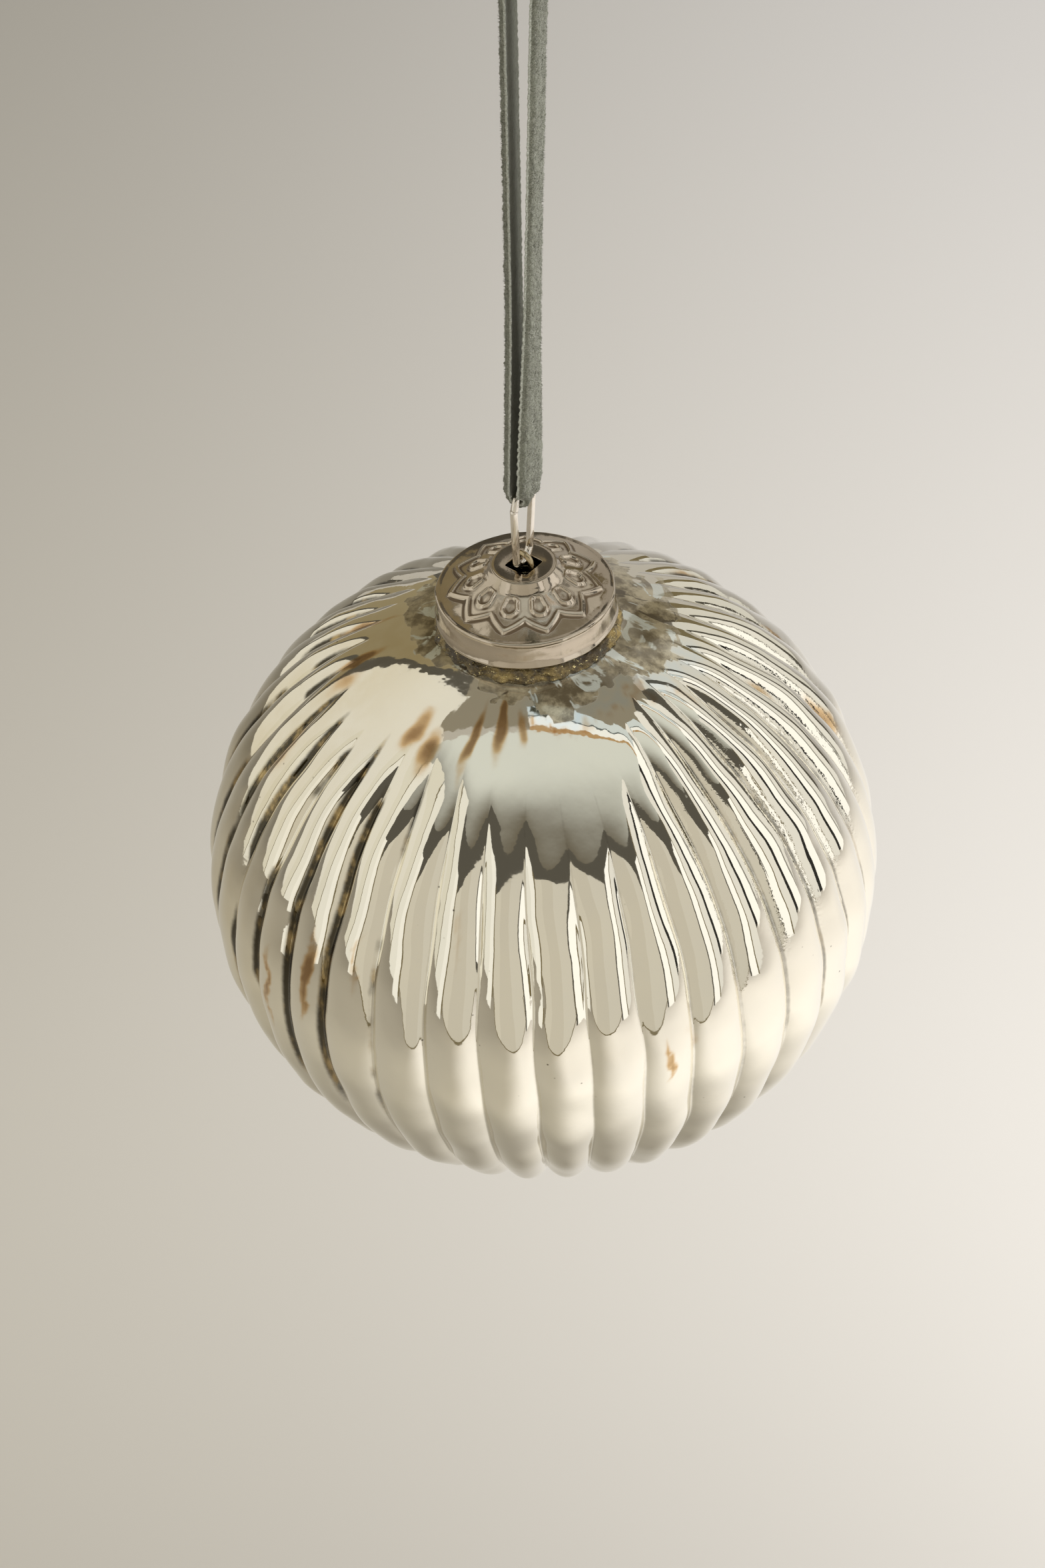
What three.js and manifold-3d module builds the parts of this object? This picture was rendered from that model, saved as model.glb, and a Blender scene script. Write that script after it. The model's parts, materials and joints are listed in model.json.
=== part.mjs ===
// A ribbed ball ornament of silvered glass, hanging from a loop of velvet ribbon. Millimetres, +Z up.
// The origin is the hang point: the inside top of the ribbon loop, just under its knot.
// The ring hangs in the plane X = 0, the ribbon's flat faces look along X, and the ball leans a little,
// because its blown wall is thicker on one side.
import * as THREE from "three";
import { mergeVertices } from "three/addons/utils/BufferGeometryUtils.js";
import Module from "manifold-3d";

// ---------- driving dimensions ----------

// Heights in the part's frame
const CROWN_Z = -96; // middle of the eye pin's wire at its crown, where the ball hangs
const RING_TOP_Z = -84; // middle of the ring's wire at its top
const BEND_Z = -74; // where the ribbon bends as the ring swings
const KNOT_Z = 0.7; // the ribbon's upper ends, under the knot

// The ball, in its own frame: its centre is the origin and its axis is Z
const BALL_RADIUS = 50;
const BALL_HALF_HEIGHT = 46.9;
const WALL = 1.1;
const THICK_SIDE_SHIFT = 0.29; // how far the blown cavity lies off the middle
const LEAN = THREE.MathUtils.degToRad(3);
const LEAN_AZIMUTH = THREE.MathUtils.degToRad(205); // the way the ball's top leans
const RIBS = 38;
const RIB_DEPTH = 1.4;
const RIB_STEPS = 4; // flat facets across one rib
const RIB_ROUNDNESS = 0.7; // lower is rounder lobes with narrower valleys
const RIBS_START = THREE.MathUtils.degToRad(20); // from the ball's top
const RIBS_FULL = THREE.MathUtils.degToRad(44);
const POLE_FADE = 9; // the ribs fade out within this radius at the bottom
const NECK_RADIUS = 11;
const NECK_WALL = 1.2;
const NECK_FILLET = 1.6;
const NECK_RIM_Z = 50.4;
const SKIN_ROWS = 16;
const CAVITY_ROWS = 12;
const CAVITY_SEGMENTS = 40;

// The glue, beside the cap's skirt and over the ball's shoulder
const CEMENT_BULGE = 0.9; // how far it swells out past the inside of the skirt
const CEMENT_BULGE_TOP = 0.6; // and how far where it is widest above the shoulder
const CEMENT_BULGE_HEIGHT = 0.9;
const CEMENT_INSIDE_SKIRT = 2.2; // how far it fills the skirt
const CEMENT_SLOPE = 0.3; // it stands this much further off the neck's fillet
const CEMENT_OVER_FILLET = 1.7; // and starts this high over the shoulder
const CEMENT_NECK_FOOT = 2.4;
const CEMENT_SKIRT_FOOT = 0.2;
const CEMENT_SEGMENTS = 36;

// The cap
const CAP_SKIRT_RADIUS = 13.1;
const CAP_SKIRT_Z = 47.6;
const CAP_SHOULDER_RADIUS = 12.8;
const CAP_SHOULDER_Z = 51.8;
const CAP_ROLL = 0.5; // radius of the rolled shoulder
const CAP_SHEET = 0.5;
const CONE_TOP_RADIUS = 5.2; // where the cap's low cone meets the button's steep side
const CONE_RISE = 3.1;
const CONE_HOLLOW = 1.3; // 1 is a straight cone
const CONE_MIDDLE_RADIUS = 7; // between the star and the button
const CONE_UNDERSIDE_RADIUS = 8.8;
const BUTTON_RADIUS = 4.65;
const BUTTON_Z = 56.35;
const BUTTON_BEVEL = 0.3;
const STAR_POINTS = 11;
const STAR_STEPS = 2; // facets on each side of a point
const STAR_TIP_RADIUS = 10.9;
const STAR_VALLEY_RADIUS = 8.9;
const STAR_HEIGHT = 0.45;
// The ridge along the star's outline: how far out from it, and the share of its height there
const STAR_RIDGE = [[0.4, 0], [0.15, 1], [-0.4, 1], [-0.75, 0]];
const STAR_RIDGE_REACH = 0.8;
const STAR_VALLEY_AZIMUTH = THREE.MathUtils.degToRad(-65);
const HOLE_SIDE = 4.2;
const HOLE_TURN = THREE.MathUtils.degToRad(-14);
const HOLE_DEPTH = 4;

// Wires
const GAP = 0.3; // clearance between pieces that touch
const RING_WIRE = 1.1;
const EYE_WIRE = 0.9;
const RING_TOP_RADIUS = 3; // of the wire's centre line, as below
const RING_FOOT_HALF_WIDTH = 2.2;
const RING_FOOT_HEIGHT = 1.7;
const EYE_RADIUS = 1.35;
const EYE_CROWN_ABOVE_BUTTON = 1.65;
// The eye pin's leg, from its tip inwards: how far out, and how far below the cone's and the button's sheet
const EYE_LEG_UNDER_CONE = [[8, 0.5], [6.2, 0.3], [4.4, 0.35]];
const EYE_LEG_UNDER_BUTTON = [[2.6, 0.55], [1.6, -0.1]];
const EYE_SHANK_DEPTH = 0.2; // where the leg turns up into the arch, below the button's face

// The ribbon
const RIBBON_WIDTH = 7;
const RIBBON_THICKNESS = 1.1;
const FOLD_HALF_WIDTH = 1.8; // gathered where it passes through the ring
const FLARE_HEIGHT = 6; // above the fold, back to its full width
const FOLD_BED = 2; // half the width that is bent to the ring's round top
const BEND_GAP = 3; // left open between the fold and the strands, for the bend
const TOP_SPREAD = 1.07; // how much further apart each strand is at the hang point
const SPREAD_CURVE = 1.5;
const TOP_TWIST = THREE.MathUtils.degToRad(8);
const KNOT_SIZE = new THREE.Vector3(10, 8, 8);
const TAIL_LENGTH = 11;
const TAIL_SPREAD = THREE.MathUtils.degToRad(38);
const TAIL_ROOT = 1.6; // how far from the middle each tail leaves the knot

// ---------- materials ----------

const material = (color, metalness, roughness) =>
  new THREE.MeshStandardMaterial({ color, metalness, roughness });
const silveredGlass = material(0xd9d2bd, 1, 0.08);
const glue = material(0x8f7f4d, 0, 0.7);
const cappedNickel = material(0xa8988a, 0.9, 0.35);
const polishedWire = material(0xc9c4ba, 1, 0.15);
const velvet = material(0x6f7666, 0, 0.9);

// ---------- shared helpers ----------

const { clamp, lerp, smoothstep } = THREE.MathUtils;
const wasm = await Module();
wasm.setup();

// A closed geometry as a solid, and back.
function toSolid(geometry) {
  const bare = geometry.clone();
  bare.deleteAttribute("normal");
  bare.deleteAttribute("uv");
  const merged = mergeVertices(bare, 1e-3);
  return new wasm.Manifold(
    new wasm.Mesh({
      numProp: 3,
      vertProperties: merged.attributes.position.array,
      triVerts: new Uint32Array(merged.index.array),
    }),
  );
}

function toGeometry(solid) {
  const mesh = solid.getMesh();
  const geometry = new THREE.BufferGeometry();
  geometry.setAttribute(
    "position",
    new THREE.BufferAttribute(mesh.vertProperties, 3),
  );
  geometry.setIndex(new THREE.BufferAttribute(mesh.triVerts, 1));
  geometry.computeVertexNormals();
  return geometry;
}

// Moves each vertex of a geometry to where place() puts it.
function reshape(geometry, place) {
  const position = geometry.attributes.position;
  const vertex = new THREE.Vector3();
  for (let i = 0; i < position.count; i++) {
    vertex.fromBufferAttribute(position, i);
    place(vertex);
    position.setXYZ(i, vertex.x, vertex.y, vertex.z);
  }
  geometry.computeVertexNormals();
  return geometry;
}

// A lathe about Z. The profile's points are [radius, height], from the bottom of the outside upwards.
function lathe(profile, segments) {
  const points = profile.map(([radius, height]) => new THREE.Vector2(radius, height));
  return new THREE.LatheGeometry(points, segments).rotateX(Math.PI / 2);
}

// A round wire along a list of points.
function wire(points, diameter, steps) {
  const section = new THREE.Shape().absarc(0, 0, diameter / 2, 0, 2 * Math.PI);
  const path = new THREE.CatmullRomCurve3(points, false, "centripetal");
  return new THREE.ExtrudeGeometry(section, {
    extrudePath: path,
    steps,
    curveSegments: 4,
    bevelEnabled: false,
  });
}

const group = new THREE.Group();

function addPart(parent, name, geometry, finish) {
  const mesh = new THREE.Mesh(geometry, finish);
  mesh.name = name;
  parent.add(mesh);
  return mesh;
}

// ---------- the ball, which leans about the crown of the eye pin ----------

const CROWN_ABOVE_CENTRE = BUTTON_Z + EYE_CROWN_ABOVE_BUTTON;
const leaning = new THREE.Group();
leaning.position.set(0, 0, CROWN_Z);
leaning.quaternion.setFromUnitVectors(
  new THREE.Vector3(0, 0, 1),
  new THREE.Vector3(
    Math.cos(LEAN_AZIMUTH) * Math.sin(LEAN),
    Math.sin(LEAN_AZIMUTH) * Math.sin(LEAN),
    Math.cos(LEAN),
  ),
);
group.add(leaning);
const ballFrame = new THREE.Group();
ballFrame.position.z = -CROWN_ABOVE_CENTRE;
leaning.add(ballFrame);

// Points of an oval meridian, from the bottom pole up to a radius near the top.
function meridian(radius, halfHeight, topRadius, steps) {
  const last = Math.asin(topRadius / radius);
  const points = [];
  for (let i = 0; i <= steps; i++) {
    const fromTop = lerp(Math.PI, last, i / steps);
    points.push([i ? radius * Math.sin(fromTop) : 0, halfHeight * Math.cos(fromTop)]);
  }
  return points;
}

// How deep the skin lies below the crest of its rib, from 0 to 1: round lobes with narrow valleys.
function ribValley(azimuth) {
  const acrossRib = (azimuth * RIBS) / (2 * Math.PI);
  return 1 - Math.abs(Math.sin(Math.PI * acrossRib)) ** RIB_ROUNDNESS;
}

function ballSkin() {
  const shoulder = meridian(BALL_RADIUS, BALL_HALF_HEIGHT, NECK_RADIUS + NECK_FILLET, SKIN_ROWS);
  const [, shoulderZ] = shoulder.at(-1);
  const profile = [
    ...shoulder,
    [NECK_RADIUS, shoulderZ + NECK_FILLET],
    [NECK_RADIUS, NECK_RIM_Z],
    [0, NECK_RIM_Z],
  ];
  return reshape(lathe(profile, RIBS * RIB_STEPS), (p) => {
    const radius = Math.hypot(p.x, p.y);
    const fromTop = Math.atan2(radius / BALL_RADIUS, p.z / BALL_HALF_HEIGHT);
    if (fromTop < RIBS_START || radius < 1e-6) return;
    const fade = smoothstep(fromTop, RIBS_START, RIBS_FULL);
    const pole = p.z < 0 ? smoothstep(radius, 0, POLE_FADE) : 1;
    const depth = RIB_DEPTH * fade * pole * ribValley(Math.atan2(p.y, p.x));
    const outward = new THREE.Vector3(
      p.x / BALL_RADIUS ** 2,
      p.y / BALL_RADIUS ** 2,
      p.z / BALL_HALF_HEIGHT ** 2,
    ).normalize();
    p.addScaledVector(outward, -depth);
  });
}

function ballCavity() {
  const inner = NECK_RADIUS - NECK_WALL;
  const radius = BALL_RADIUS - RIB_DEPTH / 2 - WALL;
  const halfHeight = BALL_HALF_HEIGHT - RIB_DEPTH / 2 - WALL;
  const profile = [
    ...meridian(radius, halfHeight, inner, CAVITY_ROWS),
    [inner, NECK_RIM_Z + 1],
    [0, NECK_RIM_Z + 1],
  ];
  const shift = new THREE.Vector3(-Math.cos(LEAN_AZIMUTH), -Math.sin(LEAN_AZIMUTH), 0);
  shift.multiplyScalar(THICK_SIDE_SHIFT);
  return lathe(profile, CAVITY_SEGMENTS).translate(shift.x, shift.y, 0);
}

addPart(
  ballFrame,
  "glass_ball",
  toGeometry(toSolid(ballSkin()).subtract(toSolid(ballCavity()))),
  silveredGlass,
);

// The glue that holds the cap: a ring round the neck, up inside the skirt and out over the shoulder.
const cementInner = NECK_RADIUS + GAP;
const cementOuter = CAP_SKIRT_RADIUS - CAP_SHEET - GAP;
const shoulderTop = BALL_HALF_HEIGHT * Math.sqrt(1 - (NECK_RADIUS / BALL_RADIUS) ** 2);
addPart(
  ballFrame,
  "neck_cement",
  lathe(
    [
      [cementInner + CEMENT_SLOPE, shoulderTop + CEMENT_OVER_FILLET],
      [cementOuter, shoulderTop + CEMENT_SKIRT_FOOT],
      [cementOuter + CEMENT_BULGE, shoulderTop],
      [cementOuter + CEMENT_BULGE_TOP, shoulderTop + CEMENT_BULGE_HEIGHT],
      [cementOuter, CAP_SKIRT_Z - GAP],
      [cementOuter, CAP_SKIRT_Z + CEMENT_INSIDE_SKIRT],
      [cementInner, CAP_SKIRT_Z + CEMENT_INSIDE_SKIRT],
      [cementInner, shoulderTop + CEMENT_NECK_FOOT],
      [cementInner + CEMENT_SLOPE, shoulderTop + CEMENT_OVER_FILLET],
    ],
    CEMENT_SEGMENTS,
  ),
  glue,
);

// The height of the cap's outer face: a low cone, a little hollow, from the shoulder to the button.
function capTopZ(radius) {
  const coneFoot = CAP_SHOULDER_RADIUS - CAP_ROLL;
  const inward = clamp((coneFoot - radius) / (coneFoot - CONE_TOP_RADIUS), 0, 1);
  return CAP_SHOULDER_Z + CONE_RISE * inward ** CONE_HOLLOW;
}

// The star's outline as a radius: straight from each point to the next valley.
function starRadius(azimuth) {
  const turns = ((azimuth - STAR_VALLEY_AZIMUTH) * STAR_POINTS) / (2 * Math.PI);
  const fromValley = Math.abs(turns - Math.round(turns)) * 2;
  return lerp(STAR_VALLEY_RADIUS, STAR_TIP_RADIUS, fromValley);
}

function capGeometry() {
  const meanStar = (STAR_TIP_RADIUS + STAR_VALLEY_RADIUS) / 2;
  const ridge = STAR_RIDGE.map(([out, share]) => {
    const radius = meanStar + out;
    return [radius, capTopZ(radius) + share * STAR_HEIGHT];
  });
  const outside = [
    [CAP_SKIRT_RADIUS - CAP_SHEET, CAP_SKIRT_Z],
    [CAP_SKIRT_RADIUS, CAP_SKIRT_Z],
    [CAP_SHOULDER_RADIUS, CAP_SHOULDER_Z - CAP_ROLL],
    [CAP_SHOULDER_RADIUS - CAP_ROLL, CAP_SHOULDER_Z],
    ...ridge,
    [CONE_MIDDLE_RADIUS, capTopZ(CONE_MIDDLE_RADIUS)],
    [CONE_TOP_RADIUS, capTopZ(CONE_TOP_RADIUS)],
    [BUTTON_RADIUS, BUTTON_Z - BUTTON_BEVEL],
    [BUTTON_RADIUS - BUTTON_BEVEL, BUTTON_Z],
    [0, BUTTON_Z],
  ];
  const underside = [
    [0, BUTTON_Z - CAP_SHEET],
    [BUTTON_RADIUS - CAP_SHEET, BUTTON_Z - CAP_SHEET],
    [CONE_TOP_RADIUS - CAP_SHEET, capTopZ(CONE_TOP_RADIUS) - CAP_SHEET],
    [CONE_MIDDLE_RADIUS, capTopZ(CONE_MIDDLE_RADIUS) - CAP_SHEET],
    [CONE_UNDERSIDE_RADIUS, capTopZ(CONE_UNDERSIDE_RADIUS) - CAP_SHEET],
    [CAP_SHOULDER_RADIUS - CAP_ROLL, CAP_SHOULDER_Z - CAP_SHEET],
    [CAP_SKIRT_RADIUS - CAP_SHEET, CAP_SHOULDER_Z - 2 * CAP_SHEET],
    [CAP_SKIRT_RADIUS - CAP_SHEET, CAP_SKIRT_Z],
  ];
  const segments = STAR_POINTS * STAR_STEPS * 2;
  const turned = lathe([...outside, ...underside], segments).rotateZ(STAR_VALLEY_AZIMUTH);
  return reshape(turned, (p) => {
    const radius = Math.hypot(p.x, p.y);
    const nearOutline = Math.abs(radius - meanStar) < STAR_RIDGE_REACH;
    const onTop = p.z > capTopZ(radius) - CAP_SHEET / 2;
    if (!nearOutline || !onTop) return;
    const rise = p.z - capTopZ(radius);
    const moved = radius + starRadius(Math.atan2(p.y, p.x)) - meanStar;
    p.set((p.x / radius) * moved, (p.y / radius) * moved, capTopZ(moved) + rise);
  });
}

const squareHole = new THREE.BoxGeometry(HOLE_SIDE, HOLE_SIDE, HOLE_DEPTH)
  .rotateZ(HOLE_TURN)
  .translate(0, 0, BUTTON_Z);
addPart(
  ballFrame,
  "cap",
  toGeometry(toSolid(capGeometry()).subtract(toSolid(squareHole))),
  cappedNickel,
);

// The eye pin: an arch out of the square hole, whose two legs spread under the cap and carry the ball.
function eyePoints() {
  const crownZ = BUTTON_Z + EYE_CROWN_ABOVE_BUTTON;
  const arch = [];
  for (let i = 0; i <= 8; i++) {
    const angle = (Math.PI * i) / 8;
    arch.push([EYE_RADIUS * Math.cos(angle), crownZ - EYE_RADIUS * (1 - Math.sin(angle))]);
  }
  const under = GAP + CAP_SHEET + EYE_WIRE / 2;
  const leg = [
    ...EYE_LEG_UNDER_CONE.map(([out, below]) => [out, capTopZ(out) - under - below]),
    ...EYE_LEG_UNDER_BUTTON.map(([out, below]) => [out, BUTTON_Z - under - below]),
    [EYE_RADIUS, BUTTON_Z - EYE_SHANK_DEPTH],
  ];
  const otherLeg = leg.map(([out, height]) => [-out, height]).reverse();
  return [...leg, ...arch, ...otherLeg].map(([x, z]) => new THREE.Vector3(x, 0, z));
}

addPart(
  ballFrame,
  "eye_pin",
  wire(eyePoints(), EYE_WIRE, 44).rotateZ(HOLE_TURN),
  polishedWire,
);

// ---------- the hanger ring: a long link of wire whose ends meet at the top, inside the ribbon ----------

const RING_FOOT_Z = CROWN_Z - EYE_WIRE / 2 - GAP - RING_WIRE / 2;

function ringPoints() {
  const half = [];
  const cut = GAP / 2 / RING_TOP_RADIUS;
  for (let i = 0; i <= 6; i++) {
    const angle = lerp(cut, Math.PI / 2, i / 6);
    half.push([RING_TOP_RADIUS * Math.sin(angle), RING_TOP_Z - RING_TOP_RADIUS * (1 - Math.cos(angle))]);
  }
  for (let i = 0; i <= 5; i++) {
    const angle = lerp(Math.PI / 2, 0, i / 6);
    const height = RING_FOOT_HEIGHT * (1 - Math.cos(angle));
    half.push([RING_FOOT_HALF_WIDTH * Math.sin(angle), RING_FOOT_Z + height]);
  }
  const otherHalf = half.map(([y, z]) => [-y, z]).reverse();
  return [...half, [0, RING_FOOT_Z], ...otherHalf].map(([y, z]) => new THREE.Vector3(0, y, z));
}

addPart(group, "hanger_ring", wire(ringPoints(), RING_WIRE, 56), polishedWire);

// ---------- the ribbon: a loop through the ring, knotted at the top ----------

const FOLD_RADIUS = RING_WIRE / 2 + GAP + RIBBON_THICKNESS / 2;
const HALF_TURN = (FOLD_RADIUS * Math.PI) / 2;
const STRAND_HEIGHT = KNOT_Z - RING_TOP_Z;

// Where a point of the ribbon lies: along it from the bottom of the fold, across it from -1 to 1, and
// outwards from its middle surface.
function ribbonPoint(along, across, outwards) {
  const side = Math.sign(along) || 1;
  const height = Math.max(0, Math.abs(along) - HALF_TURN);
  const turn = clamp(along / FOLD_RADIUS, -Math.PI / 2, Math.PI / 2);
  const halfWidth = lerp(FOLD_HALF_WIDTH, RIBBON_WIDTH / 2, smoothstep(height, 0, FLARE_HEIGHT));
  const spread = side * TOP_SPREAD * (height / STRAND_HEIGHT) ** SPREAD_CURVE;
  const y = across * halfWidth;
  const arch = RING_TOP_RADIUS - Math.sqrt(RING_TOP_RADIUS ** 2 - Math.min(Math.abs(y), FOLD_BED) ** 2);
  const drop = arch * (1 - smoothstep(height, 0, FLARE_HEIGHT / 2));
  const reach = FOLD_RADIUS + outwards;
  const twist = (TOP_TWIST * height) / STRAND_HEIGHT;
  const offset = reach * Math.sin(turn) - side * FOLD_RADIUS * Math.abs(Math.sin(turn));
  const middle = side * FOLD_RADIUS * Math.abs(Math.sin(turn)) + spread;
  return new THREE.Vector3(
    middle + offset * Math.cos(twist) - y * Math.sin(twist),
    y * Math.cos(twist) + offset * Math.sin(twist),
    RING_TOP_Z + height - reach * Math.cos(turn) - drop,
  );
}

// A stretch of the ribbon, between two distances along it.
function ribbonStretch(from, to, steps) {
  const block = new THREE.BoxGeometry(2, RIBBON_THICKNESS, 1, 4, 1, steps);
  return reshape(block, (p) => {
    p.copy(ribbonPoint(lerp(from, to, p.z + 0.5), p.x, -p.y));
  });
}

const bendHeight = BEND_Z - RING_TOP_Z;
const foldEnd = HALF_TURN + bendHeight - BEND_GAP / 2;
const strandStart = HALF_TURN + bendHeight + BEND_GAP / 2;
const strandEnd = HALF_TURN + STRAND_HEIGHT;
addPart(group, "ribbon_fold", ribbonStretch(-foldEnd, foldEnd, 24), velvet);
addPart(group, "ribbon_right", ribbonStretch(strandStart, strandEnd, 10), velvet);
addPart(group, "ribbon_left", ribbonStretch(-strandEnd, -strandStart, 10), velvet);

const knotBottom = KNOT_Z + GAP;
addPart(
  group,
  "ribbon_knot",
  new THREE.SphereGeometry(0.5, 16, 10)
    .rotateX(Math.PI / 2)
    .scale(KNOT_SIZE.x, KNOT_SIZE.y, KNOT_SIZE.z)
    .translate(0, 0, knotBottom + KNOT_SIZE.z / 2),
  velvet,
);

// Each tail leaves the knot's top and bends outwards.
for (const [name, side] of [["ribbon_tail_right", 1], ["ribbon_tail_left", -1]]) {
  const tail = new THREE.BoxGeometry(RIBBON_THICKNESS, RIBBON_WIDTH, TAIL_LENGTH, 1, 2, 5);
  reshape(tail, (p) => {
    const along = p.z + TAIL_LENGTH / 2;
    const angle = TAIL_SPREAD * (1 + along / TAIL_LENGTH);
    p.z = along * Math.cos(angle) - p.x * side * Math.sin(angle);
    p.x = side * (along * Math.sin(angle) + TAIL_ROOT) + p.x * Math.cos(angle);
  });
  addPart(group, name, tail.translate(0, 0, knotBottom + KNOT_SIZE.z + GAP), velvet);
}

export default group;
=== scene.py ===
"""The looks of a silvered glass ball ornament on a velvet ribbon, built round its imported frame.

Shapes are worked out in millimetres and become metres when a mesh is made. The ball and its fittings are
modelled in the ball's own frame, whose axis is Z and whose origin is the ball's centre.
"""
import json
import math

import bpy
import numpy as np
from mathutils import Matrix, Vector


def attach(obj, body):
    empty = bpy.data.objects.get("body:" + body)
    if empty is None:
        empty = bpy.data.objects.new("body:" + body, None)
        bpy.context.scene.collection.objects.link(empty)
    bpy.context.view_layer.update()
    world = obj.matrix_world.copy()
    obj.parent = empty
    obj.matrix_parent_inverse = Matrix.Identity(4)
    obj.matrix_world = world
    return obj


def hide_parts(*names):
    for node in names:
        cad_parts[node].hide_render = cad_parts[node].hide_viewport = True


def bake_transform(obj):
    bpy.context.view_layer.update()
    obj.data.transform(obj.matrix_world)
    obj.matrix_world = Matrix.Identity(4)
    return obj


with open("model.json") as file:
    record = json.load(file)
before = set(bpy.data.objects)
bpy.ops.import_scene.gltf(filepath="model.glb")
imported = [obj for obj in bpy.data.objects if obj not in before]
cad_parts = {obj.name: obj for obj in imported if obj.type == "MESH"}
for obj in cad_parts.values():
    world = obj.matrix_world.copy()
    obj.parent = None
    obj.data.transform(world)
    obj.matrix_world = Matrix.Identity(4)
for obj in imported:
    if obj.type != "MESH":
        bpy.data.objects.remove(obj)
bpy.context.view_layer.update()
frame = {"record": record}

MM = 0.001

# ---------- the frame's facts ----------

joints = {j["name"]: j for j in frame["record"]["behaviour"]["joints"]}
CROWN = Vector(joints["ball_swing"]["pos_m"])
SPIN_AXIS = Vector(joints["ball_spin"]["axis"]).normalized()
CROWN_Z = CROWN.z / MM
CROWN_ABOVE_CENTRE = 58.0
BALL_CENTRE = CROWN - CROWN_ABOVE_CENTRE * MM * SPIN_AXIS
BALL_MATRIX = (
    Matrix.Translation(BALL_CENTRE)
    @ Vector((0, 0, 1)).rotation_difference(SPIN_AXIS).to_matrix().to_4x4()
)

# ---------- driving dimensions, in millimetres and degrees ----------

BALL_RADIUS = 50.0
BALL_HALF_HEIGHT = 46.9
WALL = 1.1
THICK_SIDE_SHIFT = 0.29
LEAN_AZIMUTH = 205.0
RIBS = 38
RIB_DEPTH = 1.4
RIB_STEPS = 18
RIB_ROUNDNESS = 0.7  # lower is rounder lobes with narrower valleys
VALLEY_ROUNDING = 0.002
LOWER_RIBS_DEEPER = 0.45  # the ribs are deeper below the ball's waist by this share
RIPPLES = ((5.5, 0.010, 14), (16, 0.07, 15), (1.7, 0.0035, 16))  # size, height, seed
POLE_FADE = 9.0
NECK_RADIUS = 11.0
NECK_INNER = 9.8
NECK_RIM_Z = 50.4
NECK_FILLET = 1.6

CAP_SKIRT_RADIUS = 13.1
CAP_SKIRT_Z = 47.6
CAP_SHOULDER_RADIUS = 12.8
CAP_SHOULDER_Z = 51.8
CAP_ROLL = 0.5
CAP_SHEET = 0.5
CONE_TOP_RADIUS = 5.2
CONE_RISE = 3.1
CONE_HOLLOW = 1.3  # 1 is a straight cone
BUTTON_EDGE = 4.6
COVE_FOOT = 5.95
BUTTON_Z = 56.35
STAR_POINTS = 11
STAR_TIP = 10.9
STAR_VALLEY = 8.9
STAR_FIELD = 0.12  # the star's field stands this far up
STAR_RIDGE = 0.36  # and its outline this much further
RIDGE_CREASE = 0.05
PETAL_RIDGE = 0.46
PETAL_INNER = 6.6
PETAL_OUTER = 7.45
FRONT = -65.0  # the azimuth that faces the camera, and a valley of the star
HOLE_OPEN = 3.9
HOLE_TURN = -14.0
SQUARENESS = 14  # 2 is a round hole

RING_TOP_Z = -84.0
RING_WIRE = 1.1
RING_TOP_RADIUS = 3.0
RING_FOOT_HALF_WIDTH = 2.2
RING_FOOT_HEIGHT = 1.7
EYE_WIRE = 0.9
EYE_RADIUS = 1.35
EYE_ROWS = 150
RING_ROWS = 190
GAP = 0.3
RING_FOOT_Z = CROWN_Z - EYE_WIRE / 2 - GAP - RING_WIRE / 2

RIBBON_WIDTH = 7.0
RIBBON_THICKNESS = 1.1
FOLD_HALF_WIDTH = 2.0
FLARE_HEIGHT = 2.6
EDGE_DROOP = 0.62  # how far the edges hang below the fold where they are squeezed into the ring
EDGE_CURL = 0.62  # and how far they close in towards it
TOP_SPREAD = 1.07
TOP_TWIST = 12.0
KNOT_Z = 0.7
KNOT_SIZE = np.array([10.0, 8.0, 8.0])
KNOT_DEPTH = 2.4  # how far the strands run on inside the knot
KNOT_PINCH = 1.3  # and how far each is drawn in towards the middle there
TAIL_LENGTH = 11.0
TAIL_ROOT = 0.8  # how far a tail runs on inside the knot
TAIL_ROWS = 90
TAIL_OFFSET = 1.6  # where a tail leaves the knot: this far to the side, and this far below its top
TAIL_SUNK = 0.4
TAIL_SPREAD = 38.0
FOLD_RADIUS = RING_WIRE / 2 + GAP + RIBBON_THICKNESS / 2
HALF_TURN = FOLD_RADIUS * math.pi / 2
STRAND_HEIGHT = KNOT_Z - RING_TOP_Z


# ---------- shared shape helpers ----------

def smoothstep(x, low, high):
    t = np.clip((x - low) / (high - low), 0, 1)
    return t * t * (3 - 2 * t)


def bell(x, centre, width):
    return np.exp(-(((x - centre) / width) ** 2))


def waves(points, size, seed, count=36):
    """Smooth noise of mean 0 and variance 1, whose features are about size across."""
    rng = np.random.default_rng(seed)
    directions = rng.normal(size=(count, 3))
    directions /= np.linalg.norm(directions, axis=1, keepdims=True)
    lengths = rng.uniform(0.6, 1.5, count)
    phases = rng.uniform(0, 2 * math.pi, count)
    total = np.zeros(points.shape[:-1])
    for direction, length, phase in zip(directions, lengths, phases):
        total += np.cos(points @ (direction * 2 * math.pi * length / size) + phase)
    return total * math.sqrt(2 / count)


HAIR_FACES = np.array([(0, 2, 1), (0, 1, 3), (1, 2, 3), (2, 0, 3)])
WIRE_SIDES = 20
CURVE_STEPS = 24


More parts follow.
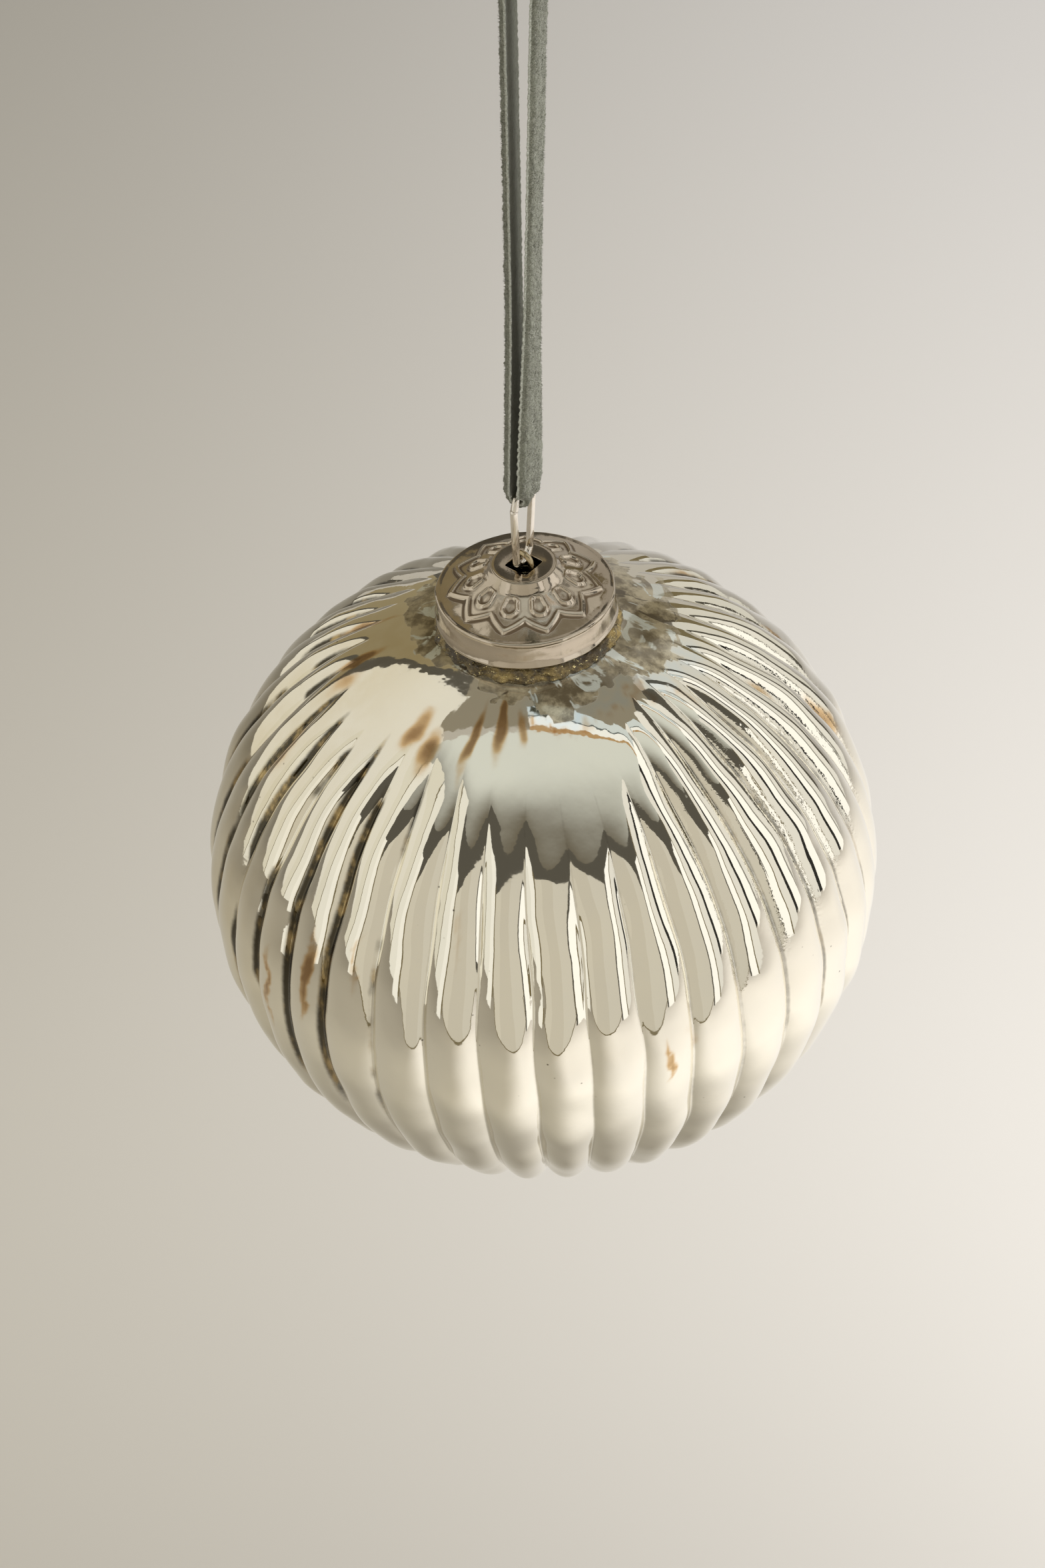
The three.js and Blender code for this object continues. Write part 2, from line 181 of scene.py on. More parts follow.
def shell(name, rings, start=None, end=None, loop=False, matrix=None, fields=(), hairs=None):
    """A closed mesh through rings of points (rows, columns, 3).

    It is capped by the points start and end, or, where loop is set, its last ring is joined to its first.
    fields are (name, values) pairs, one value for each point of the rings. hairs are four points each
    (count, 4, 3): three at the foot and a tip.
    """
    rows, columns = rings.shape[:2]
    points = rings.reshape(-1, 3)
    i = np.arange(rows if loop else rows - 1)[:, None]
    j = np.arange(columns)[None, :]
    ahead, beside = (i + 1) % rows, (j + 1) % columns
    near, far = i * columns, ahead * columns
    quads = np.stack([near + j, near + beside, far + beside, far + j], -1).reshape(-1, 4)
    faces = quads.tolist()
    around = np.arange(columns)
    for pole, ring, turned in ((start, 0, True), (end, rows - 1, False)):
        if pole is None:
            continue
        tip = len(points)
        points = np.vstack([points, pole])
        edge = ring * columns + around
        after = ring * columns + (around + 1) % columns
        for a, b in zip(edge.tolist(), after.tolist()):
            faces.append([tip, b, a] if turned else [tip, a, b])
    corners = points[quads]
    middle = points.mean(0)
    normals = np.cross(corners[:, 2] - corners[:, 0], corners[:, 3] - corners[:, 1])
    if (normals * (corners.mean(1) - middle)).sum() < 0:
        faces = [face[::-1] for face in faces]
    skin_points = len(points)
    if hairs is not None:
        foot = 4 * np.arange(len(hairs))[:, None, None] + skin_points
        faces += (foot + HAIR_FACES).reshape(-1, 3).tolist()
        points = np.vstack([points, hairs.reshape(-1, 3)])
    mesh = bpy.data.meshes.new(name)
    mesh.from_pydata((points * MM).tolist(), [], faces)
    for field, values in fields:
        flat = np.zeros(len(points), np.float32)
        flat[: rows * columns] = np.asarray(values, np.float32).reshape(-1)
        if start is not None:
            flat[rows * columns] = flat[:columns].mean()
        if end is not None:
            flat[skin_points - 1] = flat[(rows - 1) * columns : rows * columns].mean()
        mesh.attributes.new(field, "FLOAT", "POINT").data.foreach_set("value", flat)
    mesh.polygons.foreach_set("use_smooth", np.ones(len(mesh.polygons), bool))
    mesh.update()
    piece = bpy.data.objects.new(name, mesh)
    bpy.context.scene.collection.objects.link(piece)
    if matrix is not None:
        piece.matrix_world = matrix
    return piece


def smooth_path(points, count):
    """count points at even distances along a smooth curve through the given ones."""
    p = np.asarray(points, float)
    p = np.vstack([2 * p[0] - p[1], p, 2 * p[-1] - p[-2]])
    dense = []
    for a, b, c, d in zip(p[:-3], p[1:-2], p[2:-1], p[3:]):
        t = np.linspace(0, 1, CURVE_STEPS, endpoint=False)[:, None]
        square = 2 * a - 5 * b + 4 * c - d
        cube = 3 * b - a - 3 * c + d
        dense.append(0.5 * (2 * b + (c - a) * t + square * t**2 + cube * t**3))
    dense = np.vstack([*dense, p[-2][None]])
    gone = np.r_[0, np.cumsum(np.linalg.norm(np.diff(dense, axis=0), axis=1))]
    at = np.linspace(0, gone[-1], count)
    return np.stack([np.interp(at, gone, dense[:, k]) for k in range(3)], -1)


def wire(name, points, diameter, normal, count, matrix=None, waver=0.0):
    """A round wire along a flat path, with domed ends.

    normal is the direction square to the path's plane. waver is how unevenly the wire is drawn, as a share
    of its radius.
    """
    path = smooth_path(points, count)
    tangent = np.gradient(path, axis=0)
    tangent /= np.linalg.norm(tangent, axis=1, keepdims=True)
    normal = np.asarray(normal, float)
    side = np.cross(tangent, normal)
    side /= np.linalg.norm(side, axis=1, keepdims=True)
    radius = diameter / 2 * np.ones(count)
    radius *= 1 + waver * waves(path, 5, 3)
    dome = np.radians([75, 50, 25])
    first = [path[0] - tangent[0] * radius[0] * math.sin(a) for a in dome]
    last = [path[-1] + tangent[-1] * radius[-1] * math.sin(a) for a in dome[::-1]]
    centre = np.vstack([first, path, last])
    radii = np.r_[radius[0] * np.cos(dome), radius, radius[-1] * np.cos(dome[::-1])]
    sides = np.vstack([np.repeat(side[:1], len(dome), 0), side, np.repeat(side[-1:], len(dome), 0)])
    angle = np.linspace(0, 2 * math.pi, WIRE_SIDES, endpoint=False)
    rings = centre[:, None] + radii[:, None, None] * (
        np.cos(angle)[None, :, None] * sides[:, None] + np.sin(angle)[None, :, None] * normal
    )
    start, end = path[0] - tangent[0] * radius[0], path[-1] + tangent[-1] * radius[-1]
    return shell(name, rings, start, end, matrix=matrix)


# ---------- the camera ----------

CAMERA_AZIMUTH = math.radians(25)
CAMERA_ELEVATION = math.radians(41.86)
CAMERA_DISTANCE = 0.65  # metres from the point it looks at
CAMERA_LENS = 100.72
AIM_LEFT = 3.11  # that point lies this far left of the ball's centre
AIM_UP = 14.15  # and this far above it
right = Vector((math.cos(CAMERA_AZIMUTH), math.sin(CAMERA_AZIMUTH), 0))
back = Vector((
    math.sin(CAMERA_AZIMUTH) * math.cos(CAMERA_ELEVATION),
    -math.cos(CAMERA_AZIMUTH) * math.cos(CAMERA_ELEVATION),
    math.sin(CAMERA_ELEVATION),
))
aim = BALL_CENTRE - AIM_LEFT * MM * right + AIM_UP * MM * Vector((0, 0, 1))
look = back.to_track_quat("Z", "Y").to_matrix().to_4x4()
camera_data = bpy.data.cameras.new("camera")
camera_data.sensor_fit = "AUTO"
camera_data.sensor_width = 36
camera_data.lens = CAMERA_LENS
camera_data.clip_start = 0.01
camera = bpy.data.objects.new("camera", camera_data)
camera.matrix_world = Matrix.Translation(aim + CAMERA_DISTANCE * back) @ look
bpy.context.scene.collection.objects.link(camera)
bpy.context.scene.camera = camera

# ---------- the ribbon, which is the model's one cord ----------

RIBBON_ROWS = 1330
RIBBON_COLUMNS = 30
GROUND_FACE = -0.15  # the woven ground's edge lies between these two heights
GROUND_BACK = -0.25
GROUND_SWELL = 0.15  # away from its edge it is this much thicker on each side
PILE_DEPTH = 0.45
PILE_TOP = GROUND_FACE + GROUND_SWELL + PILE_DEPTH
PILE_EDGE = 0.92  # where the pile stops and the bare selvedge starts, as a share of the half width
PICOT_PITCH = 1.25
PICOT_DEPTH = 0.08
TUFTS = ((0.42, 0, 0.06), (0.8, 2, 0.055), (2.2, 1, 0.05))  # size, added to the seed, height
BACK_TUFTS = 0.3  # the back is this much as rough as the pile
HAIR_ROOT = 0.035
HAIR_LENGTHS = (0.12, 0.40)
HAIR_LEAN = 0.12
HAIRS_PER_MM = 62


def section(columns):
    """The ribbon's cross-section: places across from -1 to 1, and heights outwards, back face first."""
    across = np.cos(np.linspace(math.pi, 0, columns + 1)[:-1])
    spread = np.r_[across, -across]
    outer = np.r_[np.zeros(columns, bool), np.ones(columns, bool)]
    pile = PILE_DEPTH * (1 - smoothstep(np.abs(spread), PILE_EDGE - 0.06, PILE_EDGE + 0.05))
    ground = GROUND_SWELL * np.sqrt(np.clip(1 - spread**2, 0, 1) * 6).clip(0, 1)
    height = np.where(outer, GROUND_FACE + ground + pile, GROUND_BACK - ground)
    return spread, height, outer


def ribbon_point(along, across, outwards):
    """Where a point of the loop lies: along it from the bottom of its fold, across it from -1 to 1, and
    outwards of it."""
    side = np.where(along < 0, -1.0, 1.0)
    height = np.maximum(0, np.abs(along) - HALF_TURN)
    turn = np.clip(along / FOLD_RADIUS, -math.pi / 2, math.pi / 2)
    flare = smoothstep(height, -0.6, FLARE_HEIGHT)
    half_width = FOLD_HALF_WIDTH + (RIBBON_WIDTH / 2 - FOLD_HALF_WIDTH) * flare
    into_knot = smoothstep(height - STRAND_HEIGHT, -3.5, KNOT_DEPTH)
    spread = side * (TOP_SPREAD * (height / STRAND_HEIGHT) ** 1.5 - KNOT_PINCH * into_knot)
    y = across * half_width * (1 - 0.3 * into_knot)
    drop = EDGE_DROOP * (np.abs(y) / FOLD_HALF_WIDTH) ** 2.4 * (1 - smoothstep(height, 0, 7))
    curled = smoothstep(height, -0.3, 0.8) * (1 - 0.4 * smoothstep(height, 1, 60))
    curl = EDGE_CURL * np.abs(across) ** 4 * curled
    reach = FOLD_RADIUS + outwards
    twist = math.radians(TOP_TWIST) * smoothstep(height, -4, 36)
    strand = side * FOLD_RADIUS * np.abs(np.sin(turn))
    offset = reach * np.sin(turn) - strand
    middle = strand + spread
    x = middle - side * curl + offset * np.cos(twist) - y * np.sin(twist)
    z = RING_TOP_Z + height - reach * np.cos(turn) - drop
    return np.stack([x, y * np.cos(twist) + offset * np.sin(twist), z], -1)


def pile_hairs(place, low, high, seed):
    """Short hairs that stand out of the pile between two distances along a ribbon."""
    rng = np.random.default_rng(seed)
    count = int((high - low) * HAIRS_PER_MM)
    along = rng.uniform(low + 0.3, high - 0.3, count)
    across = rng.uniform(-PILE_EDGE, PILE_EDGE, count)
    length = rng.uniform(*HAIR_LENGTHS, count)
    lean_along = rng.normal(-0.05, HAIR_LEAN, count)
    lean_across = rng.normal(0, HAIR_LEAN, count) + 0.6 * length * across**5
    corners = []
    for a in np.radians([0, 120, 240]):
        root_along = along + HAIR_ROOT * math.cos(a)
        root_across = across + 2 * HAIR_ROOT * math.sin(a) / RIBBON_WIDTH
        corners.append(place(root_along, root_across, PILE_TOP - 0.1))
    tip = place(along + lean_along, across + 2 * lean_across / RIBBON_WIDTH, PILE_TOP + length)
    hairs = np.stack([*corners, tip], 1)
    volume = np.linalg.det(hairs[:, :3] - hairs[:, 3:])
    hairs[volume < 0] = hairs[volume < 0][:, [0, 2, 1, 3]]
    return hairs


def velvet_strip(name, place, low, high, rows, seed=1):
    """A velvet ribbon between two distances along it, its pile outwards and a scalloped selvedge on each
    edge. place is the function that says where its points lie."""
    along = np.linspace(low, high, rows)[:, None]
    spread, height, outer = section(RIBBON_COLUMNS)
    outwards = np.abs(spread)
    notch = PICOT_DEPTH / (RIBBON_WIDTH / 2) * (np.cos(2 * math.pi * along / PICOT_PITCH) - 1)
    across = spread[None] * (1 + notch * smoothstep(outwards, 0.9, 1.0))
    flat = place(along, across, np.zeros((1, 2 * RIBBON_COLUMNS)))
    on_pile = outer & (outwards < PILE_EDGE + 0.03)
    tuft = sum(waves(flat, size, seed + added) * rise for size, added, rise in TUFTS)
    rings = place(along, across, height[None] + np.where(on_pile, tuft, tuft * BACK_TUFTS))
    back_edge = smoothstep(outwards, PILE_EDGE - 0.01, PILE_EDGE + 0.03)
    edge = np.where(outer, smoothstep(outwards, 0.955, 0.985), back_edge)
    ones = np.ones((rows, 1))
    fields = [("selvedge", ones * edge), ("back_face", ones * ~outer)]
    hairs = pile_hairs(place, low, high, seed + 20)
    return shell(name, rings, rings[0].mean(0), rings[-1].mean(0), fields=fields, hairs=hairs)


strand_end = HALF_TURN + STRAND_HEIGHT
strand_tip = strand_end + KNOT_DEPTH
ribbon = velvet_strip("ribbon_loop", ribbon_point, -strand_tip, strand_tip, RIBBON_ROWS)
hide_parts("ribbon_left", "ribbon_right", "ribbon_fold")
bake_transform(ribbon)

# The knot: a lump wrapped by three crossing bands.
KNOT_BOTTOM = KNOT_Z + GAP
KNOT_CORE = 0.86  # how far the lump between the bands fills the knot's size
KNOT_BANDS = (  # direction square to the band, its half width and how far it stands out
    ((0.25, 0.1, 0.96), 0.42, 0.14),
    ((0.75, 0.45, -0.5), 0.34, 0.11),
    ((-0.6, 0.7, -0.4), 0.34, 0.08),
)
polar = np.radians(np.linspace(0, 180, 73))[1:-1, None]
turn = np.linspace(0, 2 * math.pi, 120, endpoint=False)[None]
ray = np.stack([np.sin(polar) * np.cos(turn), np.sin(polar) * np.sin(turn), np.cos(polar) + 0 * turn], -1)


def knot_swell(ray):
    """How far out the knot stands along each ray, as a share of its size."""
    swell = np.full(ray.shape[:-1], KNOT_CORE)
    for normal, width, lift in KNOT_BANDS:
        away = np.abs(ray @ (np.array(normal) / np.linalg.norm(normal))) / width
        crease = 0.86 + 0.14 * np.cos(away * 9)
        swell = np.maximum(swell, KNOT_CORE + lift * (1 - smoothstep(away, 0.8, 1.05)) * crease)
    return swell


knot_middle = np.array([0, 0, KNOT_BOTTOM + KNOT_SIZE[2] / 2])


def knot_point(ray):
    point = ray * KNOT_SIZE / 2 * knot_swell(ray)[..., None]
    return knot_middle + point * (1 + 0.012 * waves(point, 0.7, 5))[..., None]


knot = shell(
    "ribbon_knot_wraps",
    knot_point(ray),
    knot_point(np.array([0, 0, 1.0])),
    knot_point(np.array([0, 0, -1.0])),
    fields=[
        ("selvedge", smoothstep(0.92 - knot_swell(ray), 0.0, 0.05) * 0.4),
        ("back_face", np.zeros(ray.shape[:-1])),
    ],
)
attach(knot, "ribbon_loop")
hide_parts("ribbon_knot")

tail_pieces = []
for side, tail_node in ((1, "ribbon_tail_right"), (-1, "ribbon_tail_left")):

    def tail_point(along, across, outwards, side=side):
        y = across * RIBBON_WIDTH / 2 * (0.72 + 0.28 * smoothstep(along, 0, 4))
        cut = along + 1.1 * (y / RIBBON_WIDTH) * smoothstep(along, TAIL_LENGTH - 2.5, TAIL_LENGTH)
        angle = math.radians(TAIL_SPREAD) * (1 + cut / TAIL_LENGTH)
        x = side * (cut * np.sin(angle) + TAIL_OFFSET + outwards * np.cos(angle))
        z = KNOT_BOTTOM + KNOT_SIZE[2] - TAIL_SUNK + cut * np.cos(angle) - outwards * np.sin(angle)
        return np.stack([x, y + 0 * outwards, z], -1)

    tail = velvet_strip(tail_node + "_velvet", tail_point, -TAIL_ROOT, TAIL_LENGTH, TAIL_ROWS, seed=7)
    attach(tail, "ribbon_loop")
    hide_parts(tail_node)
    tail_pieces.append(tail)

# ---------- the ball ----------

FROM_TOP_LAST = math.asin((NECK_RADIUS + NECK_FILLET) / BALL_RADIUS)
BALL_ROWS = 176
across_rib = np.arange(RIB_STEPS) / RIB_STEPS
# The columns stand closer together in the valleys.
across_rib = across_rib - 0.5 * np.sin(2 * math.pi * across_rib) / (2 * math.pi)
rib_azimuth = ((np.arange(RIBS)[:, None] + across_rib[None]) * 2 * math.pi / RIBS).reshape(-1)


def facing(azimuth):
    """Degrees round from the camera's side, positive to its right."""
    return (np.degrees(azimuth) - FRONT + 180) % 360 - 180


def around_axis(radius, height, azimuth):
    radius, height, azimuth = np.broadcast_arrays(radius, height, azimuth)
    return np.stack([radius * np.cos(azimuth), radius * np.sin(azimuth), height], -1)


def ball_skin(from_top, azimuth):
    """The outer skin at angles from the top, with its ribs, their wander and the ripple of blown glass."""
    from_top, azimuth = np.broadcast_arrays(from_top, azimuth)
    degrees_down = np.degrees(from_top)
    around = around_axis(BALL_RADIUS, 0.0, azimuth)
    unrolled = around + from_top[..., None] * np.array([0, 0, 45.0])
    wander = 0.010 * waves(around, 34, 11) + 0.003 * waves(unrolled, 20, 12)
    bent = azimuth + wander * smoothstep(degrees_down, 14, 34)
    radius = BALL_RADIUS * np.sin(from_top)
    point = around_axis(radius, BALL_HALF_HEIGHT * np.cos(from_top), bent)
    normal = point / np.array([BALL_RADIUS**2, BALL_RADIUS**2, BALL_HALF_HEIGHT**2])
    normal /= np.linalg.norm(normal, axis=-1, keepdims=True)
    # The ribs start lower on the side that faces the camera, and lowest just right of its middle.
    turned = facing(azimuth)
    start = 22 + 7 * smoothstep(-np.abs(turned + 30), -75, -50) + 12 * bell(turned, 12, 19)
    full = start + 20 + 8 * bell(turned, -14, 20)
    fade = smoothstep(degrees_down, start, full)
    pole = np.where(np.cos(from_top) < 0, smoothstep(radius, 0, POLE_FADE), 1)
    lobe = np.abs(np.sin(azimuth * RIBS / 2))
    valley = 1 - np.sqrt(lobe**2 + VALLEY_ROUNDING) ** RIB_ROUNDNESS
    low_down = 1 + LOWER_RIBS_DEEPER * smoothstep(degrees_down, 85, 125)
    uneven = 1 + 0.12 * waves(around, 15, 13)
    depth = RIB_DEPTH * low_down * uneven * fade * pole * valley
    ripple = sum(rise * waves(point, size, seed) for size, rise, seed in RIPPLES)
    ripple = ripple + 0.055 * fade * waves(point * [1, 1, 0.8], 10, 17)
    return point + normal * (ripple * smoothstep(degrees_down, 13, 20) - depth)[..., None]


outer_from_top = np.linspace(math.pi, FROM_TOP_LAST, BALL_ROWS)[1:, None]
outer = ball_skin(outer_from_top, rib_azimuth[None] + 0 * outer_from_top)
shoulder_z = BALL_HALF_HEIGHT * math.cos(FROM_TOP_LAST)
neck = [
    (NECK_RADIUS + NECK_FILLET * (1 - math.sin(a)), shoulder_z + NECK_FILLET * (1 - math.cos(a)))
    for a in np.radians([25, 50, 75, 90])
]
neck += [
    (NECK_RADIUS, NECK_RIM_Z - 0.4),
    (NECK_RADIUS - 0.15, NECK_RIM_Z - 0.1),
    (NECK_RADIUS - 0.6, NECK_RIM_Z),
    (NECK_INNER + 0.15, NECK_RIM_Z - 0.1),
    (NECK_INNER, NECK_RIM_Z - 0.4),
]
inner_radius = BALL_RADIUS - RIB_DEPTH / 2 - WALL
inner_height = BALL_HALF_HEIGHT - RIB_DEPTH / 2 - WALL
inner_last = math.asin(NECK_INNER / inner_radius)
inside = [
    (inner_radius * math.sin(a), inner_height * math.cos(a))
    for a in np.linspace(inner_last, math.pi, 30)[:-1]
]
lean_azimuth = math.radians(LEAN_AZIMUTH)
shift = THICK_SIDE_SHIFT * np.array([-math.cos(lean_azimuth), -math.sin(lean_azimuth), 0])
ball_rings = np.concatenate(
    [outer]
    + [around_axis(r, z, rib_azimuth)[None] for r, z in neck]
    + [around_axis(r, z, rib_azimuth)[None] + shift for r, z in inside]
)

# How the silvering has aged, with painted shade and painted reflections in its valleys and a yellower tint at
# the left. Each field below is a strength from 0 to 1 over the outer skin,
# and every angle is in degrees: down from the top, or round from the side that faces the camera, positive to
# its right.
down = np.degrees(outer_from_top)
round_deg = facing(rib_azimuth[None] + 0 * outer_from_top)
drift = 0.7 * waves(outer, 7, 23) + 0.25 * waves(outer, 2.0, 26)
RANDOM_STAINS = 26  # of which those on the far side are kept
STAINS = [  # degrees round, degrees down, width, length and strength
    (-41, 29, 4.5, 4.5, 0.9), (-33, 31, 3.5, 5, 0.85), (-21, 27, 2.0, 8, 1.0), (-11, 24, 2.6, 7, 0.95),
    (-3, 24, 2.2, 3, 0.6), (-43, 77, 1.3, 10, 0.9), (-53, 86, 1.0, 12, 0.7), (-66, 84, 1.6, 12, 0.6),
    (-33, 70, 0.9, 9, 0.5), (22, 88, 0.8, 6, 0.6), (-15, 60, 1.0, 10, 0.35), (26, 84, 1.4, 4, 0.35),
    (-75, 48, 3, 8, 0.6), (-80, 33, 5, 6, 0.5), (61, 30, 2, 5, 0.4),
]
stain_rng = np.random.default_rng(31)
for _ in range(RANDOM_STAINS):
    rib_line = (stain_rng.integers(0, RIBS) + 0.04) * 360 / RIBS - FRONT
    where = (rib_line + 180) % 360 - 180
    if abs(where) > 80:
        STAINS.append((
            where, stain_rng.uniform(26, 105), stain_rng.uniform(0.8, 2.6),
            stain_rng.uniform(4, 13), stain_rng.uniform(0.3, 0.9),
        ))
brown = np.zeros(outer.shape[:2])
for centre, top, width, length, strength in STAINS:
    away = (round_deg + drift * 0.6 - centre + 180) % 360 - 180
    brown = np.maximum(brown, strength * bell(away, 0, width) * bell(down + drift, top, length))


def between(x, low, low_full, high_full, high):
    """1 between the two middle values, fading to 0 at the outer ones."""
    return smoothstep(x, low, low_full) * (1 - smoothstep(x, high_full, high))


# Painted shade and painted dark reflections in the valleys, mixed with tarnish: strongest at the left and
# behind, and again in a band near the ball's foot.
lobe_height = np.abs(np.sin(rib_azimuth * RIBS / 2))[None] + 0 * outer_from_top
patchy = waves(outer * [1, 1, 0.25], 13, 24) + 0.35 * waves(outer * [1, 1, 0.5], 3, 25)
leftward = np.clip(smoothstep(-round_deg, 20, 42) + smoothstep(round_deg, 100, 130), 0, 1)
valley_shade_top = 0.30 + 0.42 * leftward + 0.10 * bell(down, 132, 10)
valley_shade_and_tarnish = (1 - smoothstep(lobe_height, 0.04, valley_shade_top)) * smoothstep(patchy, -2.3, 0.1)
valley_shade_and_tarnish *= 0.35 + 0.65 * leftward + 0.30 * bell(round_deg, 62, 26)
valley_shade_and_tarnish *= smoothstep(down, 26, 40) * (1 - smoothstep(down, 98, 120) * (1 - 0.8 * bell(down, 134, 9)))
speckled = (1 - smoothstep(lobe_height, 0.25, 0.65)) * between(round_deg, 18, 45, 110, 140)
speckled *= between(down, 30, 45, 72, 88)

# Tarnish covers the shoulder down to a ragged edge. At the front right a bare band and an orange line follow.
rough_edge = waves(outer, 3.2, 21) * 0.9 + waves(outer, 9.0, 22) * 1.3
collar = 21.0 + 4.0 * smoothstep(round_deg, 35, 70) - 7.5 * bell(round_deg, -42, 27) + rough_edge
tarnish = 1 - smoothstep(down, collar - 0.5, collar + 0.5)
bare_band = bell(down, collar + 1.6, 1.5) * between(round_deg, -8, 4, 75, 100)
orange = bell(down, collar + 4.2, 0.45) * between(round_deg, -6, 0, 40, 75)
aged_and_shaded_fields = {
    "tarnish": tarnish,
    "brown": brown,
    "bare_band": bare_band,
    "orange": orange,
    "valley_shade_and_tarnish": np.clip(valley_shade_and_tarnish, 0, 1),
    "speckled": speckled,
    # Yellower towards the left of the view.
    "yellower_at_left": 0.8 * bell(round_deg, -86, 30),
}
unaged = np.zeros((len(neck) + len(inside), len(rib_azimuth)))  # the neck and the inside
ball = shell(
    "glass_ball_silvered",
    ball_rings,
    ball_skin(np.array([math.pi]), np.array([0.0]))[0],
    np.array([0, 0, -inner_height]) + shift,
    matrix=BALL_MATRIX,
    fields=[(name, np.vstack([values, unaged])) for name, values in aged_and_shaded_fields.items()],
)
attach(ball, "ball")
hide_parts("glass_ball")

# The glue round the neck: a lumpy bead out of the skirt's foot and over the shoulder.
GLUE_BLOBS = (  # degrees round from the front, height and size
    (58, 0.7, 0.9), (66, 0.3, 0.6), (49, 0.3, 0.5), (-72, 0.5, 0.6), (150, 0.6, 0.7), (-140, 0.4, 0.8),
)
glue_turn = np.linspace(0, 2 * math.pi, 240, endpoint=False)[None]
cement_inner = NECK_RADIUS + GAP
cement_outer = CAP_SKIRT_RADIUS - CAP_SHEET - GAP
glue_profile = np.array([
    (cement_inner + 0.25, shoulder_z + 1.5), (cement_outer - 0.4, shoulder_z + 0.45),
    (cement_outer + 0.7, shoulder_z - 0.1), (cement_outer + 1.15, shoulder_z - 0.15),
    (cement_outer + 1.05, shoulder_z + 0.35), (cement_outer + 0.7, shoulder_z + 1.0),
    (cement_outer + 0.35, shoulder_z + 1.6), (cement_outer + 0.1, CAP_SKIRT_Z - 0.35),
    (cement_outer, CAP_SKIRT_Z + 0.1), (cement_outer, CAP_SKIRT_Z + 2.2),
    (cement_inner, CAP_SKIRT_Z + 2.2), (cement_inner, shoulder_z + 2.4),
])
glue_steps = np.linspace(0, len(glue_profile), 61)[:-1]
closed = np.vstack([glue_profile, glue_profile[:1]])
glue_r = np.interp(glue_steps, np.arange(len(closed)), closed[:, 0])[:, None]
glue_z = np.interp(glue_steps, np.arange(len(closed)), closed[:, 1])[:, None]
glue_rings = around_axis(glue_r, glue_z, glue_turn + 0 * glue_r)
below_skirt = 1 - smoothstep(glue_z, CAP_SKIRT_Z - 0.5, CAP_SKIRT_Z)
showing = below_skirt * smoothstep(glue_r, cement_inner, cement_outer)
lump = 0.10 * waves(glue_rings, 1.1, 41) + 0.16 * waves(glue_rings, 3.4, 42)
for centre, height, size in GLUE_BLOBS:
    away = (facing(glue_turn) - centre + 180) % 360 - 180
    lump = lump + 0.45 * size * bell(away, 0, 7 * size) * bell(glue_z, shoulder_z + 1 + height, 0.7)
outward = around_axis(1.0, 0.35, glue_turn + 0 * glue_r)
lump = lump - 0.35 * bell(facing(glue_turn), -48, 40) + 0.15 * bell(facing(glue_turn), 60, 30)
glue_rings = glue_rings + outward * (lump * showing)[..., None]
glue = shell("neck_glue", glue_rings, loop=True, matrix=BALL_MATRIX)
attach(glue, "ball")
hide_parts("neck_cement")

# ---------- the cap ----------

CONE_FOOT = CAP_SHOULDER_RADIUS - CAP_ROLL
RELIEF_ROWS = 84
SKIRT_PROFILE = (  # radius and height: down the outside, round the rolled foot and up the inside
    (12.72, 51.25), (12.68, 51.1), (12.72, 50.9), (12.78, 50.5), (12.82, 49.8), (12.86, 49.1), (12.9, 48.6),
    (12.98, 48.25), (13.1, 48.0), (13.16, 47.85), (13.14, 47.68), (13.02, 47.6), (12.75, 47.62),
    (12.62, 47.9), (12.5, 48.6), (12.35, 50.0), (12.25, 51.0), (11.9, 51.25),
)
DENTS = ((6.5, 0.035, 51), (3.2, 0.015, 53), (1.2, 0.004, 52))  # size, depth, seed
GRIME_DEPTH = 0.12  # a hollow this much lower than what is round it is full of grime
COLUMNS_PER_POINT = 44
cap_turn = np.linspace(0, 2 * math.pi, STAR_POINTS * COLUMNS_PER_POINT, endpoint=False)[None]


def cap_top(radius):
    """How high the plain cone stands at a radius."""
    inward = np.clip((CONE_FOOT - radius) / (CONE_FOOT - CONE_TOP_RADIUS), 0, 1)
    return CAP_SHOULDER_Z + CONE_RISE * inward**CONE_HOLLOW


def cap_relief(radius, azimuth):
    """The pressed star and its petals: height above the plain cone."""
    turns = (azimuth - math.radians(FRONT)) * STAR_POINTS / (2 * math.pi)
    from_valley = np.abs(turns - np.round(turns)) * 2
    outline = STAR_VALLEY + (STAR_TIP - STAR_VALLEY) * from_valley
    out = (radius - outline) * 0.82
    rise = STAR_FIELD * smoothstep(-out, -0.3, 0.1)
    rise = rise + STAR_RIDGE * smoothstep(0.36 - out, 0, 0.22) * (1 - smoothstep(-out, 0.26, 0.5))
    rise = rise - RIDGE_CREASE * bell(out, -0.05, 0.09)
    petal = (turns - np.floor(turns) - 0.5) * 2 * math.pi / STAR_POINTS
    side, along = radius * np.sin(petal), radius * np.cos(petal)
    share = np.clip((along - PETAL_INNER) / (PETAL_OUTER - PETAL_INNER), 0, 1)
    middle = PETAL_INNER + (PETAL_OUTER - PETAL_INNER) * share
    ring = np.hypot(side, along - middle) - (0.80 + 0.24 * share)
    petal_rise = PETAL_RIDGE * bell(ring, 0.0, 0.25) - 0.05 * bell(ring, -0.9, 0.3)
    return rise + petal_rise * smoothstep(radius, 5.6, 6.1)


